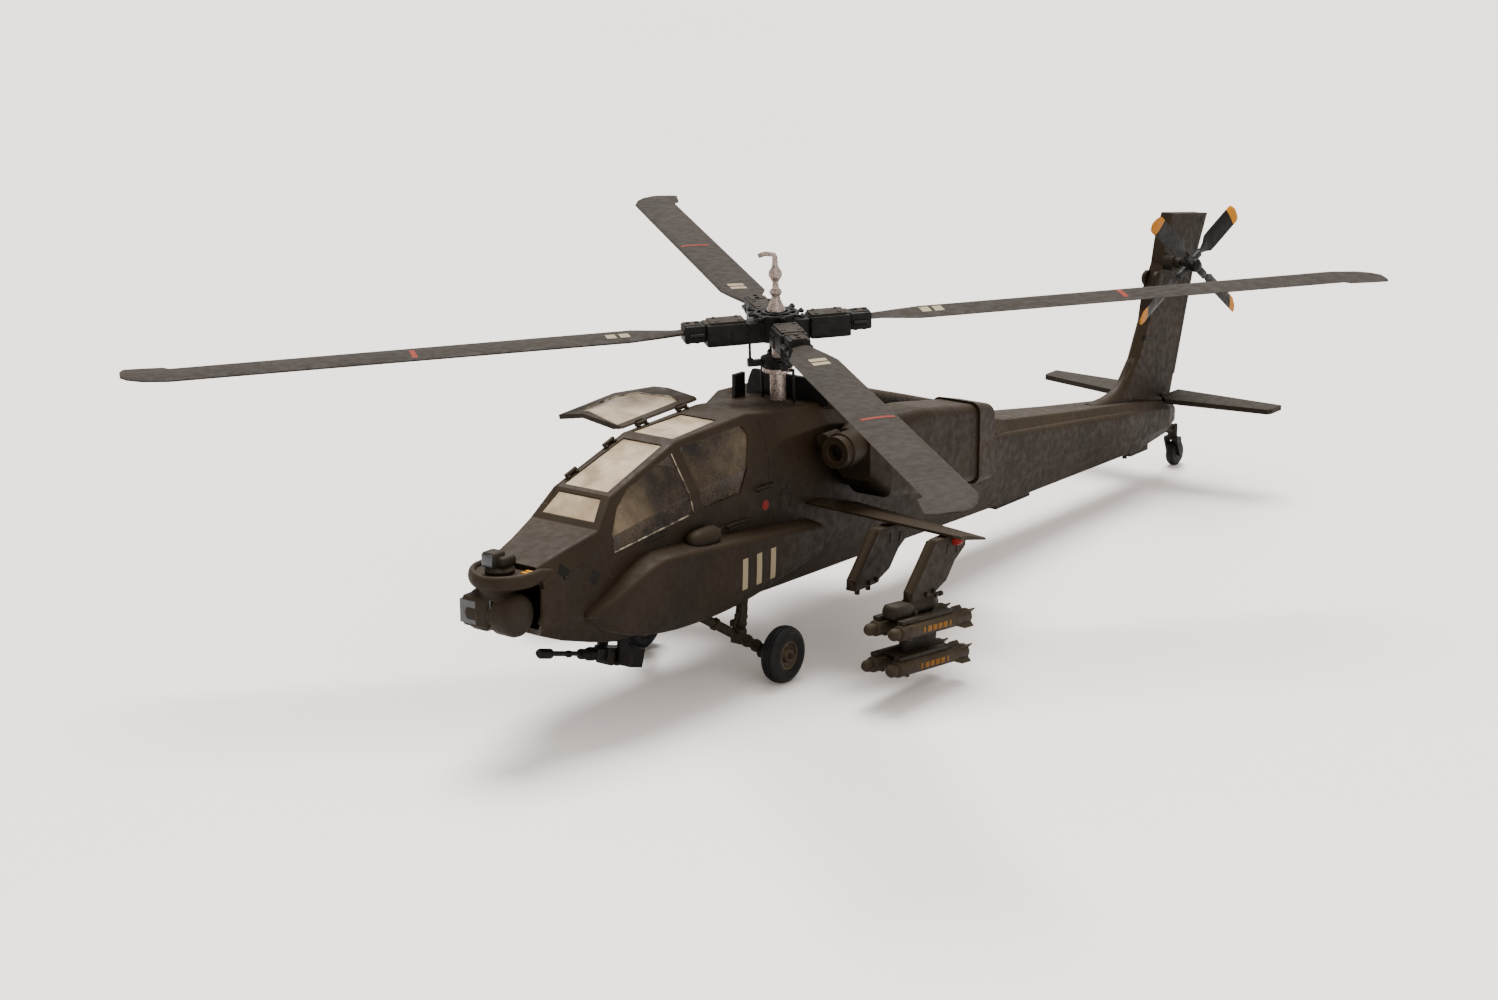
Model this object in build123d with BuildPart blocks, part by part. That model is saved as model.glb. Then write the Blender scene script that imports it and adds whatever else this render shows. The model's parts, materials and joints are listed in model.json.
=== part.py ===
from build123d import *
import os
from math import cos, radians, sin

# A 1:48 assembly-kit attack helicopter: nose towards -Y, port side towards +X, wheels on Z = 0.
# Stations are millimetres aft of the rotor mast, and aft() turns one into a Y coordinate.
MAST_Y = -47.82
WALL = 1.1
GAP = 0.15

ROTOR_RADIUS = 152.4
ROTOR_HEIGHT = 77.2
ROTOR_TILT = 2.16
ROTOR_PHASE = 49.7
BLADE_COUNT = 4
BLADE_HALF_CHORD = 5.5
BLADE_THICKNESS = 1.1

TAIL_ROTOR_X = 10.3
TAIL_ROTOR_STATION = 184.2
TAIL_ROTOR_HEIGHT = 62.2
TAIL_ROTOR_RADIUS = 29.0
TAIL_BLADE_HALF_CHORD = 2.65

MAIN_WHEEL_RADIUS = 6.8
MAIN_WHEEL_X = 21.1
MAIN_WHEEL_STATION = -26.7
TAIL_WHEEL_RADIUS = 3.7
TAIL_WHEEL_STATION = 196.6

WING_TIP_X = 54.4
INBOARD_PYLON_X = 34.0
OUTBOARD_PYLON_X = 49.7
LUG_RADIUS = 0.6
LUG_LENGTH = 1.4
STORE_TILT = 6.0
MISSILE_RADIUS = 1.85
MISSILE_LENGTH = 32.0

STANDING = (Align.CENTER, Align.CENTER, Align.MIN)

os.makedirs("parts", exist_ok=True)


def aft(station):
    return MAST_Y + station


def cross_plane(station):
    """Plane across the fuselage: local x is port, local y is up."""
    return Plane(origin=(0, aft(station), 0), x_dir=(1, 0, 0), z_dir=(0, -1, 0))


def side_plane(x):
    """Plane along the fuselage: local x is the Y axis, local y is up, extrusion goes to +X."""
    return Plane(origin=(x, 0, 0), x_dir=(0, 1, 0), z_dir=(1, 0, 0))


def side_outline(x, points):
    """A closed side profile from (station, height) points."""
    with BuildSketch(side_plane(x)) as profile:
        with BuildLine():
            Polyline(*[(aft(station), z) for station, z in points], close=True)
        make_face()
    return profile.sketch


def plan_outline(z, points):
    """A closed plan profile from (x, station) points, at height z."""
    with BuildSketch(Plane.XY.offset(z)) as profile:
        with BuildLine():
            Polyline(*[(x, aft(station)) for x, station in points], close=True)
        make_face()
    return profile.sketch


def finish(builder, name):
    builder.part.label = name
    export_step(builder.part, "parts/" + name + ".step")


# ---------------------------------------------------------------- hull form
# station, half widths (belly, side, roof), heights (belly, lower side, upper side, roof)
HULL = [
    (-96.5, 5.2, 8.7, 6.4, 27.0, 31.0, 39.0, 42.4),
    (-88.0, 6.6, 9.8, 7.6, 23.6, 30.0, 40.5, 44.6),
    (-79.2, 7.4, 10.6, 9.6, 21.0, 29.5, 43.5, 47.0),
    (-72.9, 7.6, 10.9, 7.9, 19.4, 29.0, 45.0, 53.0),
    (-48.9, 7.6, 11.1, 7.5, 17.4, 28.5, 48.0, 60.3),
    (-22.2, 7.6, 11.5, 7.5, 16.9, 28.0, 50.0, 61.3),
    (-14.0, 7.8, 12.0, 9.0, 16.7, 27.5, 54.0, 60.0),
    (4.0, 8.2, 12.4, 9.0, 16.4, 27.0, 54.0, 58.6),
    (40.0, 8.0, 11.8, 7.5, 15.4, 25.0, 47.0, 51.8),
    (72.0, 7.6, 10.6, 6.8, 14.2, 23.0, 37.5, 41.8),
    (92.0, 6.8, 9.0, 6.4, 13.3, 21.5, 32.5, 36.0),
    (130.0, 5.2, 7.0, 5.0, 12.0, 17.5, 27.5, 30.3),
    (168.0, 4.2, 6.0, 3.8, 11.0, 15.0, 22.6, 25.0),
    (184.0, 3.6, 5.0, 3.0, 12.5, 15.0, 20.0, 22.0),
    (189.5, 2.2, 3.6, 2.0, 13.8, 15.5, 19.0, 20.8),
]
CORNER_RADIUS = 1.2
PIVOT_RADIUS = 1.2
PIVOT_BORE = 1.26
GUN_STATION = -63.0
CANOPY_SIDE = [(-80.4, 46.2), (-76.6, 36.0), (-19.6, 39.0), (-19.6, 70.0), (-80.4, 70.0)]


def hull_section(row, inset, shift=0.0):
    station, belly_w, side_w, roof_w, belly_z, low_z, high_z, roof_z = row
    port = [
        (belly_w - inset, belly_z + inset),
        (side_w - inset, low_z),
        (side_w - inset, high_z),
        (roof_w - inset, roof_z - inset),
    ]
    starboard = [(-x, z) for x, z in reversed(port)]
    with BuildSketch(cross_plane(station + shift)) as section:
        with BuildLine():
            Polyline(*port, *starboard, close=True)
        make_face()
        fillet(section.vertices(), CORNER_RADIUS * 0.8)
    return section.sketch


def hull_solid(inset):
    """The whole outer form, or the same form moved inwards by inset."""
    shifts = [0.0] * len(HULL)
    shifts[0] = inset
    shifts[-1] = -inset
    with BuildPart() as form:
        loft(sections=[hull_section(row, inset, shift) for row, shift in zip(HULL, shifts)], ruled=True)
    return form.part


hull_outer = hull_solid(0.0)
hull_inner = hull_solid(WALL)
pane_outer = hull_solid(0.3)
pane_inner = hull_solid(0.9)

# The lower sensor turret turns inside a round pocket in the chin.
TURRET_STATION = -101.6
TURRET_HEIGHT = 32.6
TURRET_SWING = 9.0

with BuildPart() as hull_shell:
    add(hull_outer)
    add(hull_inner, mode=Mode.SUBTRACT)
    with Locations((0, aft(TURRET_STATION), 18.0)):
        Cylinder(TURRET_SWING, 20.6, align=STANDING, mode=Mode.SUBTRACT)
    with Locations((0, aft(GUN_STATION), 17.0)):
        Cylinder(PIVOT_BORE, 4.0, align=STANDING, mode=Mode.SUBTRACT)

for side_name, keep in (("port", Keep.TOP), ("starboard", Keep.BOTTOM)):
    with BuildPart() as fuselage_half:
        add(hull_shell.part)
        extrude(side_outline(-20, CANOPY_SIDE), amount=40, mode=Mode.SUBTRACT)
        split(bisect_by=Plane.YZ, keep=keep)
    finish(fuselage_half, "fuselage_half_" + side_name)

# ---------------------------------------------------------------- canopy and doors
# Windshield and two roof panes, as (half width, station) at their front and rear edges.
ROOF_PANES = (
    ((7.4, -77.9), (5.9, -73.6)),
    ((6.2, -71.6), (5.5, -51.2)),
    ((5.9, -47.8), (5.1, -30.5)),
)
FRONT_WINDOW = [(-75.0, 41.2), (-75.2, 45.6), (-72.0, 50.2), (-66.9, 53.6), (-50.9, 58.0), (-46.8, 43.6)]
REAR_WINDOW = [(-48.2, 58.6), (-43.4, 44.0), (-29.6, 44.6), (-23.7, 56.6), (-25.2, 59.2)]
PILOT_DOOR = [(-49.4, 64.0), (-46.2, 40.2), (-25.2, 40.8), (-20.4, 53.5), (-20.4, 64.0)]
GUNNER_DOOR = [(-76.3, 64.0), (-76.3, 39.4), (-47.2, 41.4), (-50.6, 64.0)]
GUNNER_WINDOW = FRONT_WINDOW[:4] + [(-51.8, 57.8), (-48.4, 43.6)]
DOOR_TOP_X = -6.9
SKIN_REACH = 9.0


def pane_cut(front, rear):
    """Plan outline of a roof pane, well below the roof."""
    (front_w, front_s), (rear_w, rear_s) = front, rear
    corners = [(front_w, front_s), (rear_w, rear_s), (-rear_w, rear_s), (-front_w, front_s)]
    return plan_outline(44.0, corners)


with BuildPart() as window_prisms:
    for front, rear in ROOF_PANES:
        extrude(pane_cut(front, rear), amount=30)
    for window in (FRONT_WINDOW, REAR_WINDOW):
        extrude(side_outline(6.6, window), amount=SKIN_REACH)

with BuildPart() as canopy_frame:
    add(hull_shell.part)
    extrude(side_outline(-20, CANOPY_SIDE), amount=40, mode=Mode.INTERSECT)
    add(window_prisms.part, mode=Mode.SUBTRACT)
    extrude(side_outline(DOOR_TOP_X, PILOT_DOOR), amount=-SKIN_REACH, mode=Mode.SUBTRACT)
    extrude(side_outline(DOOR_TOP_X, GUNNER_DOOR), amount=-SKIN_REACH, mode=Mode.SUBTRACT)
finish(canopy_frame, "canopy_frame")

with BuildPart() as canopy_panes:
    add(pane_outer)
    add(pane_inner, mode=Mode.SUBTRACT)
    add(window_prisms.part, mode=Mode.INTERSECT)
finish(canopy_panes, "canopy_panes")

# Each door is cut closed from the hull skin, then swung about the roof edge.
PILOT_HINGE = Axis(origin=(-7.0, aft(-48.9), 60.92), direction=(0, 26.7, 1.0))
GUNNER_HINGE = Axis(origin=(-7.0, aft(-72.9), 53.65), direction=(0, 24.0, 7.3))
PILOT_DOOR_OPEN = 78.0
BARREL_RADIUS = 0.5
PIN_RADIUS = 0.22


def door_profile(points):
    """A door outline shrunk by the shut line, on the plane of the roof edge."""
    with BuildSketch(side_plane(DOOR_TOP_X - GAP)) as profile:
        with BuildLine():
            Polyline(*[(aft(station), z) for station, z in points], close=True)
        make_face()
        offset(amount=-GAP, kind=Kind.INTERSECTION, mode=Mode.REPLACE)
    return profile.sketch


def hinge_plane(axis, distance):
    """Plane across a hinge axis, this far along it; local y is down."""
    direction = axis.direction
    origin = axis.position + direction * distance
    return Plane(origin=origin, x_dir=(1, 0, 0), z_dir=direction)


DOORS = (
    # name, outline, window, hinge, opening at rest, hinge barrel positions
    ("pilot_door", PILOT_DOOR, REAR_WINDOW, PILOT_HINGE, PILOT_DOOR_OPEN, (5.0, 20.0)),
    ("gunner_door", GUNNER_DOOR, GUNNER_WINDOW, GUNNER_HINGE, 0.0, (4.0, 18.0)),
)
for name, outline, window, hinge, opening, barrels in DOORS:
    with BuildPart() as door:
        add(hull_shell.part)
        extrude(door_profile(outline), amount=-SKIN_REACH, mode=Mode.INTERSECT)
        extrude(side_outline(-6.6, window), amount=-SKIN_REACH, mode=Mode.SUBTRACT)
        for place in barrels:
            with BuildSketch(hinge_plane(hinge, place)):
                Circle(BARREL_RADIUS)
                with Locations((-0.45, 0.45)):
                    Rectangle(0.9, 0.5)
                Circle(PIN_RADIUS + 0.06, mode=Mode.SUBTRACT)
            extrude(amount=2.0)
    with BuildPart() as door_pane:
        add(pane_outer)
        add(pane_inner, mode=Mode.SUBTRACT)
        extrude(side_outline(-6.6, window), amount=-SKIN_REACH, mode=Mode.INTERSECT)
    with BuildPart() as hung_door:
        add(door.part.rotate(hinge, opening))
    finish(hung_door, name)
    with BuildPart() as hung_pane:
        add(door_pane.part.rotate(hinge, opening))
    finish(hung_pane, name + "_pane")

with BuildPart() as door_hinges:
    for name, outline, window, hinge, opening, barrels in DOORS:
        for place in barrels:
            with BuildSketch(hinge_plane(hinge, place - 0.8)):
                Circle(PIN_RADIUS)
            extrude(amount=3.6)
            for end in (place - 0.8, place + 2.1):
                with BuildSketch(hinge_plane(hinge, end)):
                    Circle(BARREL_RADIUS)
                    with Locations((0.45, 0.45)):
                        Rectangle(0.9, 0.7)
                extrude(amount=0.7)
    add(hull_outer, mode=Mode.SUBTRACT)
finish(door_hinges, "door_hinges")

# ---------------------------------------------------------------- cockpit interior
TUB_HALF = 8.6
with BuildPart() as cockpit_tub:
    front_floor = [(-73, 30), (-49, 30), (-49, 36), (-24, 36), (-24, 54), (-25, 54), (-25, 37)]
    front_floor += [(-47, 37), (-47, 50), (-48, 50), (-50, 31), (-73, 31)]
    extrude(side_outline(-TUB_HALF, front_floor), amount=2 * TUB_HALF)
    for inner_x in (-TUB_HALF, TUB_HALF - 1.0):
        sill = [(-73, 31), (-50, 31), (-48, 37), (-25, 37), (-25, 43), (-46, 42), (-73, 40)]
        extrude(side_outline(inner_x, sill), amount=1.0)
    add(hull_inner, mode=Mode.INTERSECT)
finish(cockpit_tub, "cockpit_tub")

SEAT_HALF = 3.4
for name, seat_station, floor_z in (("front_seat", -54.5, 31.0), ("rear_seat", -29.5, 37.0)):
    seat_back = [(0, 0), (0, 17), (-1.2, 17.6), (-2.2, 16), (-1.6, 6)]
    seat_outline = seat_back + [(-8, 5), (-8.6, 3.4), (-6, 2.8), (-5, 0)]
    with BuildPart() as seat:
        extrude(
            side_outline(-SEAT_HALF, [(seat_station + along, floor_z + up) for along, up in seat_outline]),
            amount=2 * SEAT_HALF,
        )
        fillet(seat.edges().filter_by(Axis.X), 0.25)
    finish(seat, name)

with BuildPart() as instrument_panels:
    extrude(side_outline(-5.5, [(-70, 31), (-69, 31), (-67.4, 43.5), (-71.5, 44.5)]), amount=11.0)
    extrude(side_outline(-4.8, [(-47, 44), (-46, 44), (-45, 52.5), (-47, 53.4)]), amount=9.6)
    add(cockpit_tub.part, mode=Mode.SUBTRACT)
finish(instrument_panels, "instrument_panels")

with BuildPart() as control_sticks:
    for stick_station, floor_z in ((-64.5, 31.0), (-39.5, 37.0)):
        with Locations((0, aft(stick_station), floor_z)):
            Cylinder(0.35, 6.0, align=STANDING)
        with Locations((0, aft(stick_station), floor_z + 6.5)):
            Cylinder(0.7, 2.2, align=(Align.CENTER, Align.CENTER, Align.CENTER))
finish(control_sticks, "control_sticks")

# ---------------------------------------------------------------- side avionics bays
# station, outer half width, bottom height, top height
BAY = [
    (-87.5, 11.4, 27.6, 31.2),
    (-78.6, 14.6, 25.2, 34.6),
    (-66.0, 16.4, 23.0, 37.8),
    (-52.6, 17.0, 22.4, 38.6),
    (-39.5, 17.0, 22.6, 37.4),
    (-20.0, 16.3, 24.6, 34.6),
    (-3.5, 15.2, 25.8, 32.0),
]


def bay_section(station, outer, low, high):
    inner = 7.0
    with BuildSketch(cross_plane(station)) as section:
        with BuildLine():
            Polyline(
                (inner, low - 1.8), (outer - 1.6, low), (outer, low + 1.6),
                (outer, high - 1.6), (outer - 1.6, high), (inner, high + 1.6), close=True,
            )
        make_face()
    return section.sketch


with BuildPart() as avionics_bay_port:
    loft(sections=[bay_section(*row) for row in BAY], ruled=True)
    add(hull_outer, mode=Mode.SUBTRACT)
finish(avionics_bay_port, "avionics_bay_port")
with BuildPart() as avionics_bay_starboard:
    mirror(avionics_bay_port.part, about=Plane.YZ)
finish(avionics_bay_starboard, "avionics_bay_starboard")

# ---------------------------------------------------------------- nose sensors
UPPER_TURRET_STATION = -100.8
UPPER_TURRET_RADIUS = 3.4
with BuildPart() as nose_tray:
    with BuildSketch(Plane.XY.offset(38.8)):
        with Locations((0, aft(-98.5))):
            Ellipse(8.4, 8.6)
    extrude(amount=3.6)
    fillet(nose_tray.edges().group_by(Axis.Z)[-1], 0.8)
    with Locations((0, aft(UPPER_TURRET_STATION), 41.2)):
        Cylinder(UPPER_TURRET_RADIUS + 0.3, 3.0, align=STANDING, mode=Mode.SUBTRACT)
    with Locations((0, aft(TURRET_STATION), 38.8)):
        Cylinder(PIVOT_BORE, 1.3, align=STANDING, mode=Mode.SUBTRACT)
    add(hull_outer, mode=Mode.SUBTRACT)
finish(nose_tray, "nose_tray")

with BuildPart() as upper_turret:
    with Locations((0, aft(UPPER_TURRET_STATION), 41.35)):
        Cylinder(UPPER_TURRET_RADIUS, 1.6, align=STANDING)
    with Locations((-0.6, aft(UPPER_TURRET_STATION), 42.5)):
        Box(5.0, 4.4, 3.6, align=STANDING)
    fillet(upper_turret.edges().group_by(Axis.Z)[-1], 0.6)
finish(upper_turret, "upper_turret")

TURRET_HALF = 7.2
TURRET_RADIUS = 4.7
TURRET_BLOCK_RADIUS = 4.0
# The two glazed windows as (x, z above the drum axis, width, height, radius of the face they are in).
TURRET_WINDOWS = (
    (-4.8, 0.3, 4.4, 5.2, TURRET_RADIUS),
    (-0.2, 2.6, 2.6, 2.2, TURRET_BLOCK_RADIUS),
)
with BuildPart() as lower_turret:
    for start, length in ((-TURRET_HALF, TURRET_HALF - 2.0), (1.6, TURRET_HALF - 1.6)):
        with BuildSketch(Plane.YZ.offset(start)):
            with Locations((aft(TURRET_STATION), TURRET_HEIGHT)):
                Circle(TURRET_RADIUS)
        extrude(amount=length)
    fillet(lower_turret.edges().group_by(Axis.X)[-1], 1.6)
    fillet(lower_turret.edges().group_by(Axis.X)[0], 0.6)
    with BuildSketch(Plane.YZ.offset(-2.2)):
        with Locations((aft(TURRET_STATION), TURRET_HEIGHT)):
            Circle(TURRET_BLOCK_RADIUS)
    extrude(amount=4.0)
    with Locations((0, aft(TURRET_STATION), TURRET_HEIGHT + 3.0)):
        Cylinder(3.2, 3.0, align=STANDING)
        Cylinder(PIVOT_RADIUS, 4.3, align=STANDING)
    for window_x, window_z, window_w, window_h, face in TURRET_WINDOWS:
        with Locations((window_x, aft(TURRET_STATION) - face, TURRET_HEIGHT + window_z)):
            Box(window_w, 1.8, window_h, mode=Mode.SUBTRACT)
finish(lower_turret, "lower_turret")

with BuildPart() as turret_windows:
    for window_x, window_z, window_w, window_h, face in TURRET_WINDOWS:
        with Locations((window_x, aft(TURRET_STATION) - face + 0.55, TURRET_HEIGHT + window_z)):
            Box(window_w, 0.7, window_h)
finish(turret_windows, "turret_windows")

# ---------------------------------------------------------------- chin gun
GUN_PIVOT_Z = 12.6
GUN_PITCH = 15.5
GUN_MOUNT_TOP = 18.1


def gun_plane(forward):
    """Plane across the gun, this far forward of the trunnion; local y is up across the gun."""
    pitch = radians(GUN_PITCH)
    origin = (0, aft(GUN_STATION) - forward * cos(pitch), GUN_PIVOT_Z + forward * sin(pitch))
    return Plane(origin=origin, x_dir=(1, 0, 0), z_dir=(0, -cos(pitch), sin(pitch)))


with BuildPart() as gun_mount:
    with Locations((0, aft(GUN_STATION), GUN_MOUNT_TOP)):
        Cylinder(3.4, 1.5, align=(Align.CENTER, Align.CENTER, Align.MAX))
        Cylinder(PIVOT_RADIUS, 2.4, align=STANDING)
    with Locations((-2.9, aft(GUN_STATION), 14.2), (2.9, aft(GUN_STATION), 14.2)):
        Box(0.9, 3.0, 6.4)
    with BuildSketch(Plane.YZ.offset(-3.4)):
        with Locations((aft(GUN_STATION), GUN_PIVOT_Z)):
            Circle(0.55)
    extrude(amount=6.8)
finish(gun_mount, "gun_mount")

with BuildPart() as gun_receiver:
    with BuildSketch(gun_plane(4.5)):
        Rectangle(4.2, 3.4)
    extrude(amount=-13.5)
    with BuildSketch(gun_plane(7.5)):
        Rectangle(3.0, 2.6)
    extrude(amount=-3.0)
    with BuildSketch(gun_plane(-5.0)):
        with Locations((0, -1.6)):
            Rectangle(3.2, 2.4)
    extrude(amount=-4.6)
    with BuildSketch(Plane.YZ.offset(-4.0)):
        with Locations((aft(GUN_STATION), GUN_PIVOT_Z)):
            Circle(0.61)
    extrude(amount=8.0, mode=Mode.SUBTRACT)
finish(gun_receiver, "gun_receiver")

with BuildPart() as gun_barrel:
    with BuildSketch(gun_plane(7.5)):
        Circle(0.8)
    extrude(amount=2.5)
    with BuildSketch(gun_plane(10.0)):
        Circle(0.55)
    extrude(amount=13.5)
    with BuildSketch(gun_plane(23.5)):
        Circle(0.85)
    extrude(amount=3.2)
finish(gun_barrel, "gun_barrel")

# ---------------------------------------------------------------- rotor head
TILT = radians(ROTOR_TILT)
ROTOR_PLANE = Plane(origin=(0, MAST_Y, ROTOR_HEIGHT), x_dir=(1, 0, 0), z_dir=(0, -sin(TILT), cos(TILT)))
SPIGOT_RADIUS = 1.2
HUB_BOTTOM = -3.6
HUB_TOP = 2.4
PLATE_TOP = 3.2
COLLAR_TOP = -10.2
SWASH_BOTTOM = -9.9
SWASH_TOP = -7.9


def rotor_disc(bottom, height, *radii):
    """Rings about the rotor axis, from the bottom height upwards."""
    with BuildSketch(ROTOR_PLANE.offset(bottom)) as disc:
        Circle(radii[0])
        if len(radii) > 1:
            Circle(radii[1], mode=Mode.SUBTRACT)
    extrude(disc.sketch, amount=height)


def turned_plane(plane, degrees, height=0.0):
    """The plane turned about its own normal, and raised along it."""
    turn = radians(degrees)
    x_dir = plane.x_dir * cos(turn) + plane.y_dir * sin(turn)
    return Plane(origin=plane.origin + plane.z_dir * height, x_dir=x_dir, z_dir=plane.z_dir)


def arm_plane(index, height=0.0):
    """Plane at a blade arm: local x runs out along the blade."""
    return turned_plane(ROTOR_PLANE, ROTOR_PHASE + index * 360.0 / BLADE_COUNT, height)


with BuildPart() as static_mast:
    rotor_disc(-19.5, 8.4, 1.9)
    rotor_disc(-11.2, 1.0, 3.6)
    rotor_disc(COLLAR_TOP, PLATE_TOP + 0.2 - COLLAR_TOP, SPIGOT_RADIUS)
    add(hull_outer, mode=Mode.SUBTRACT)
finish(static_mast, "static_mast")

with BuildPart() as control_rods:
    for side in (-1, 1):
        with BuildSketch(ROTOR_PLANE.offset(-19.5)):
            with Locations((side * 4.6, 0)):
                Circle(0.35)
        extrude(amount=9.2)
        with BuildSketch(ROTOR_PLANE.offset(-11.0)):
            with Locations((side * 4.1, 0)):
                Rectangle(1.3, 0.6)
        extrude(amount=0.6)
    add(hull_outer, mode=Mode.SUBTRACT)
    add(static_mast.part, mode=Mode.SUBTRACT)
finish(control_rods, "control_rods")

with BuildPart() as swashplate:
    rotor_disc(SWASH_BOTTOM, SWASH_TOP - SWASH_BOTTOM, 4.0)
    for index in range(BLADE_COUNT):
        with BuildSketch(arm_plane(index, SWASH_BOTTOM + 0.3)):
            with Locations((5.2, 0)):
                Rectangle(4.0, 1.6)
        extrude(amount=1.4)
    with BuildSketch(ROTOR_PLANE.offset(SWASH_BOTTOM - 1)):
        Circle(SPIGOT_RADIUS + 0.06)
    extrude(amount=5, mode=Mode.SUBTRACT)
finish(swashplate, "swashplate")

with BuildPart() as pitch_links:
    for index in range(BLADE_COUNT):
        with BuildSketch(arm_plane(index, SWASH_BOTTOM + 1.7)):
            with Locations((6.6, 0)):
                Circle(0.4)
        extrude(amount=HUB_BOTTOM - SWASH_BOTTOM - 1.7)
finish(pitch_links, "pitch_links")

with BuildPart() as rotor_hub:
    rotor_disc(HUB_BOTTOM, HUB_TOP - HUB_BOTTOM, 4.4)
    for index in range(BLADE_COUNT):
        with BuildSketch(arm_plane(index, HUB_BOTTOM)):
            with Locations((5.0, 0)):
                Rectangle(5.2, 4.8)
        extrude(amount=4.8)
    with BuildSketch(ROTOR_PLANE.offset(HUB_BOTTOM - 1)):
        Circle(SPIGOT_RADIUS + 0.06)
    extrude(amount=9, mode=Mode.SUBTRACT)
finish(rotor_hub, "rotor_hub")

with BuildPart() as hub_top_plate:
    with BuildSketch(ROTOR_PLANE.offset(HUB_TOP)):
        Circle(8.2)
        Circle(2.0, mode=Mode.SUBTRACT)
        with PolarLocations(5.7, 8, start_angle=ROTOR_PHASE + 22.5):
            Circle(1.35, mode=Mode.SUBTRACT)
    extrude(amount=PLATE_TOP - HUB_TOP)
finish(hub_top_plate, "hub_top_plate")

GRIP_START = 7.6
GRIP_STEP = 17.6
GRIP_END = 22.6
with BuildPart() as blade_grips:
    for index in range(BLADE_COUNT):
        with BuildSketch(arm_plane(index, -3.6)):
            with Locations(((GRIP_START + GRIP_STEP) / 2, 0)):
                Rectangle(GRIP_STEP - GRIP_START, 6.8)
        extrude(amount=6.0)
        with BuildSketch(arm_plane(index, -2.4)):
            with Locations(((GRIP_STEP + GRIP_END) / 2, 0)):
                Rectangle(GRIP_END - GRIP_STEP, 5.4)
        extrude(amount=4.2)
finish(blade_grips, "blade_grips")

BLADE_PLAN = [
    (GRIP_END, 2.2), (30.0, 4.2), (36.0, BLADE_HALF_CHORD), (142.0, BLADE_HALF_CHORD), (150.8, 1.6),
    (ROTOR_RADIUS, -0.6), (ROTOR_RADIUS - 0.4, -6.0), (151.2, -8.3), (141.0, -BLADE_HALF_CHORD),
    (34.0, -BLADE_HALF_CHORD), (25.0, -2.2), (GRIP_END, -2.2),
]
for index in range(BLADE_COUNT):
    with BuildPart() as blade:
        with BuildSketch(arm_plane(index, -BLADE_THICKNESS / 2)):
            with BuildLine():
                Polyline(*BLADE_PLAN, close=True)
            make_face()
        extrude(amount=BLADE_THICKNESS)
    finish(blade, "main_blade_" + str(index + 1))

with BuildPart() as air_data_sensor:
    sensor_plane = Plane(
        origin=ROTOR_PLANE.origin, x_dir=(1, 0, 0), z_dir=(0, -cos(TILT), -sin(TILT)),
    )
    with BuildSketch(sensor_plane):
        with BuildLine():
            Polyline(
                (0, 3.4), (2.3, 3.4), (1.3, 6.2), (0.9, 7.0), (1.5, 7.4), (1.5, 8.2), (0.8, 8.6),
                (0.7, 10.4), (1.7, 11.4), (1.7, 12.6), (0.8, 13.8), (0.6, 17.4), (0, 17.4), close=True,
            )
        make_face()
    revolve(axis=Axis(ROTOR_PLANE.origin, ROTOR_PLANE.z_dir))
    with BuildSketch(Plane.YZ.offset(-4.6)):
        with Locations((MAST_Y - 16.8 * sin(TILT), ROTOR_HEIGHT + 16.8 * cos(TILT))):
            Circle(0.65)
    extrude(amount=4.6)
finish(air_data_sensor, "air_data_sensor")

# ---------------------------------------------------------------- upper deck
# station, half width, bottom height, top height
FAIRING = [
    (5.5, 10.0, 54.0, 61.8),
    (14.0, 9.6, 53.0, 60.6),
    (30.0, 8.6, 49.0, 56.6),
    (46.0, 7.4, 45.0, 52.0),
    (64.0, 5.6, 41.0, 46.6),
    (86.0, 3.4, 34.0, 40.0),
]
with BuildPart() as transmission_fairing:
    sections = []
    for station, half, low, high in FAIRING:
        with BuildSketch(cross_plane(station)) as section:
            with Locations((0, (low + high) / 2)):
                RectangleRounded(2 * half, high - low, 2.0)
        sections.append(section.sketch)
    loft(sections=sections, ruled=True)
    add(hull_outer, mode=Mode.SUBTRACT)
finish(transmission_fairing, "transmission_fairing")

with BuildPart() as arched_bulkhead:
    with BuildSketch(cross_plane(5.4)):
        with Locations((0, 58.0)):
            Circle(12.0)
        with Locations((0, 50.5)):
            Rectangle(30, 15.0, mode=Mode.SUBTRACT)
        with Locations((0, 70.0)):
            Rectangle(30, 11.6, mode=Mode.SUBTRACT)
    extrude(amount=1.2)
    with Locations((-8.6, aft(-3.5), 61.4)):
        Box(1.0, 4.0, 7.0)
    add(hull_outer, mode=Mode.SUBTRACT)
finish(arched_bulkhead, "arched_bulkhead")

# ---------------------------------------------------------------- engines
# station, inner x, outer x, bottom height, top height
NACELLE = [
    (3.0, 15.5, 25.0, 42.0, 54.0),
    (10.0, 14.0, 26.2, 36.5, 56.0),
    (26.0, 13.0, 26.6, 34.0, 55.2),
    (48.0, 12.6, 26.2, 32.0, 51.6),
]


def nacelle_section(station, inner, outer, low, high):
    with BuildSketch(cross_plane(station)) as section:
        with Locations(((inner + outer) / 2, (low + high) / 2)):
            RectangleRounded(outer - inner, high - low, 2.6)
    return section.sketch


with BuildPart() as nacelle_port:
    loft(sections=[nacelle_section(*row) for row in NACELLE], ruled=True)
    with BuildSketch(Plane.XY.offset(38.0)):
        with Locations((11.5, aft(28.0))):
            Rectangle(6.0, 36.0)
    extrude(amount=10.0)
    add(hull_outer, mode=Mode.SUBTRACT)
    add(transmission_fairing.part, mode=Mode.SUBTRACT)
with BuildPart() as engine_nacelles:
    add(nacelle_port.part)
    mirror(nacelle_port.part, about=Plane.YZ)
finish(engine_nacelles, "engine_nacelles")

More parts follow.
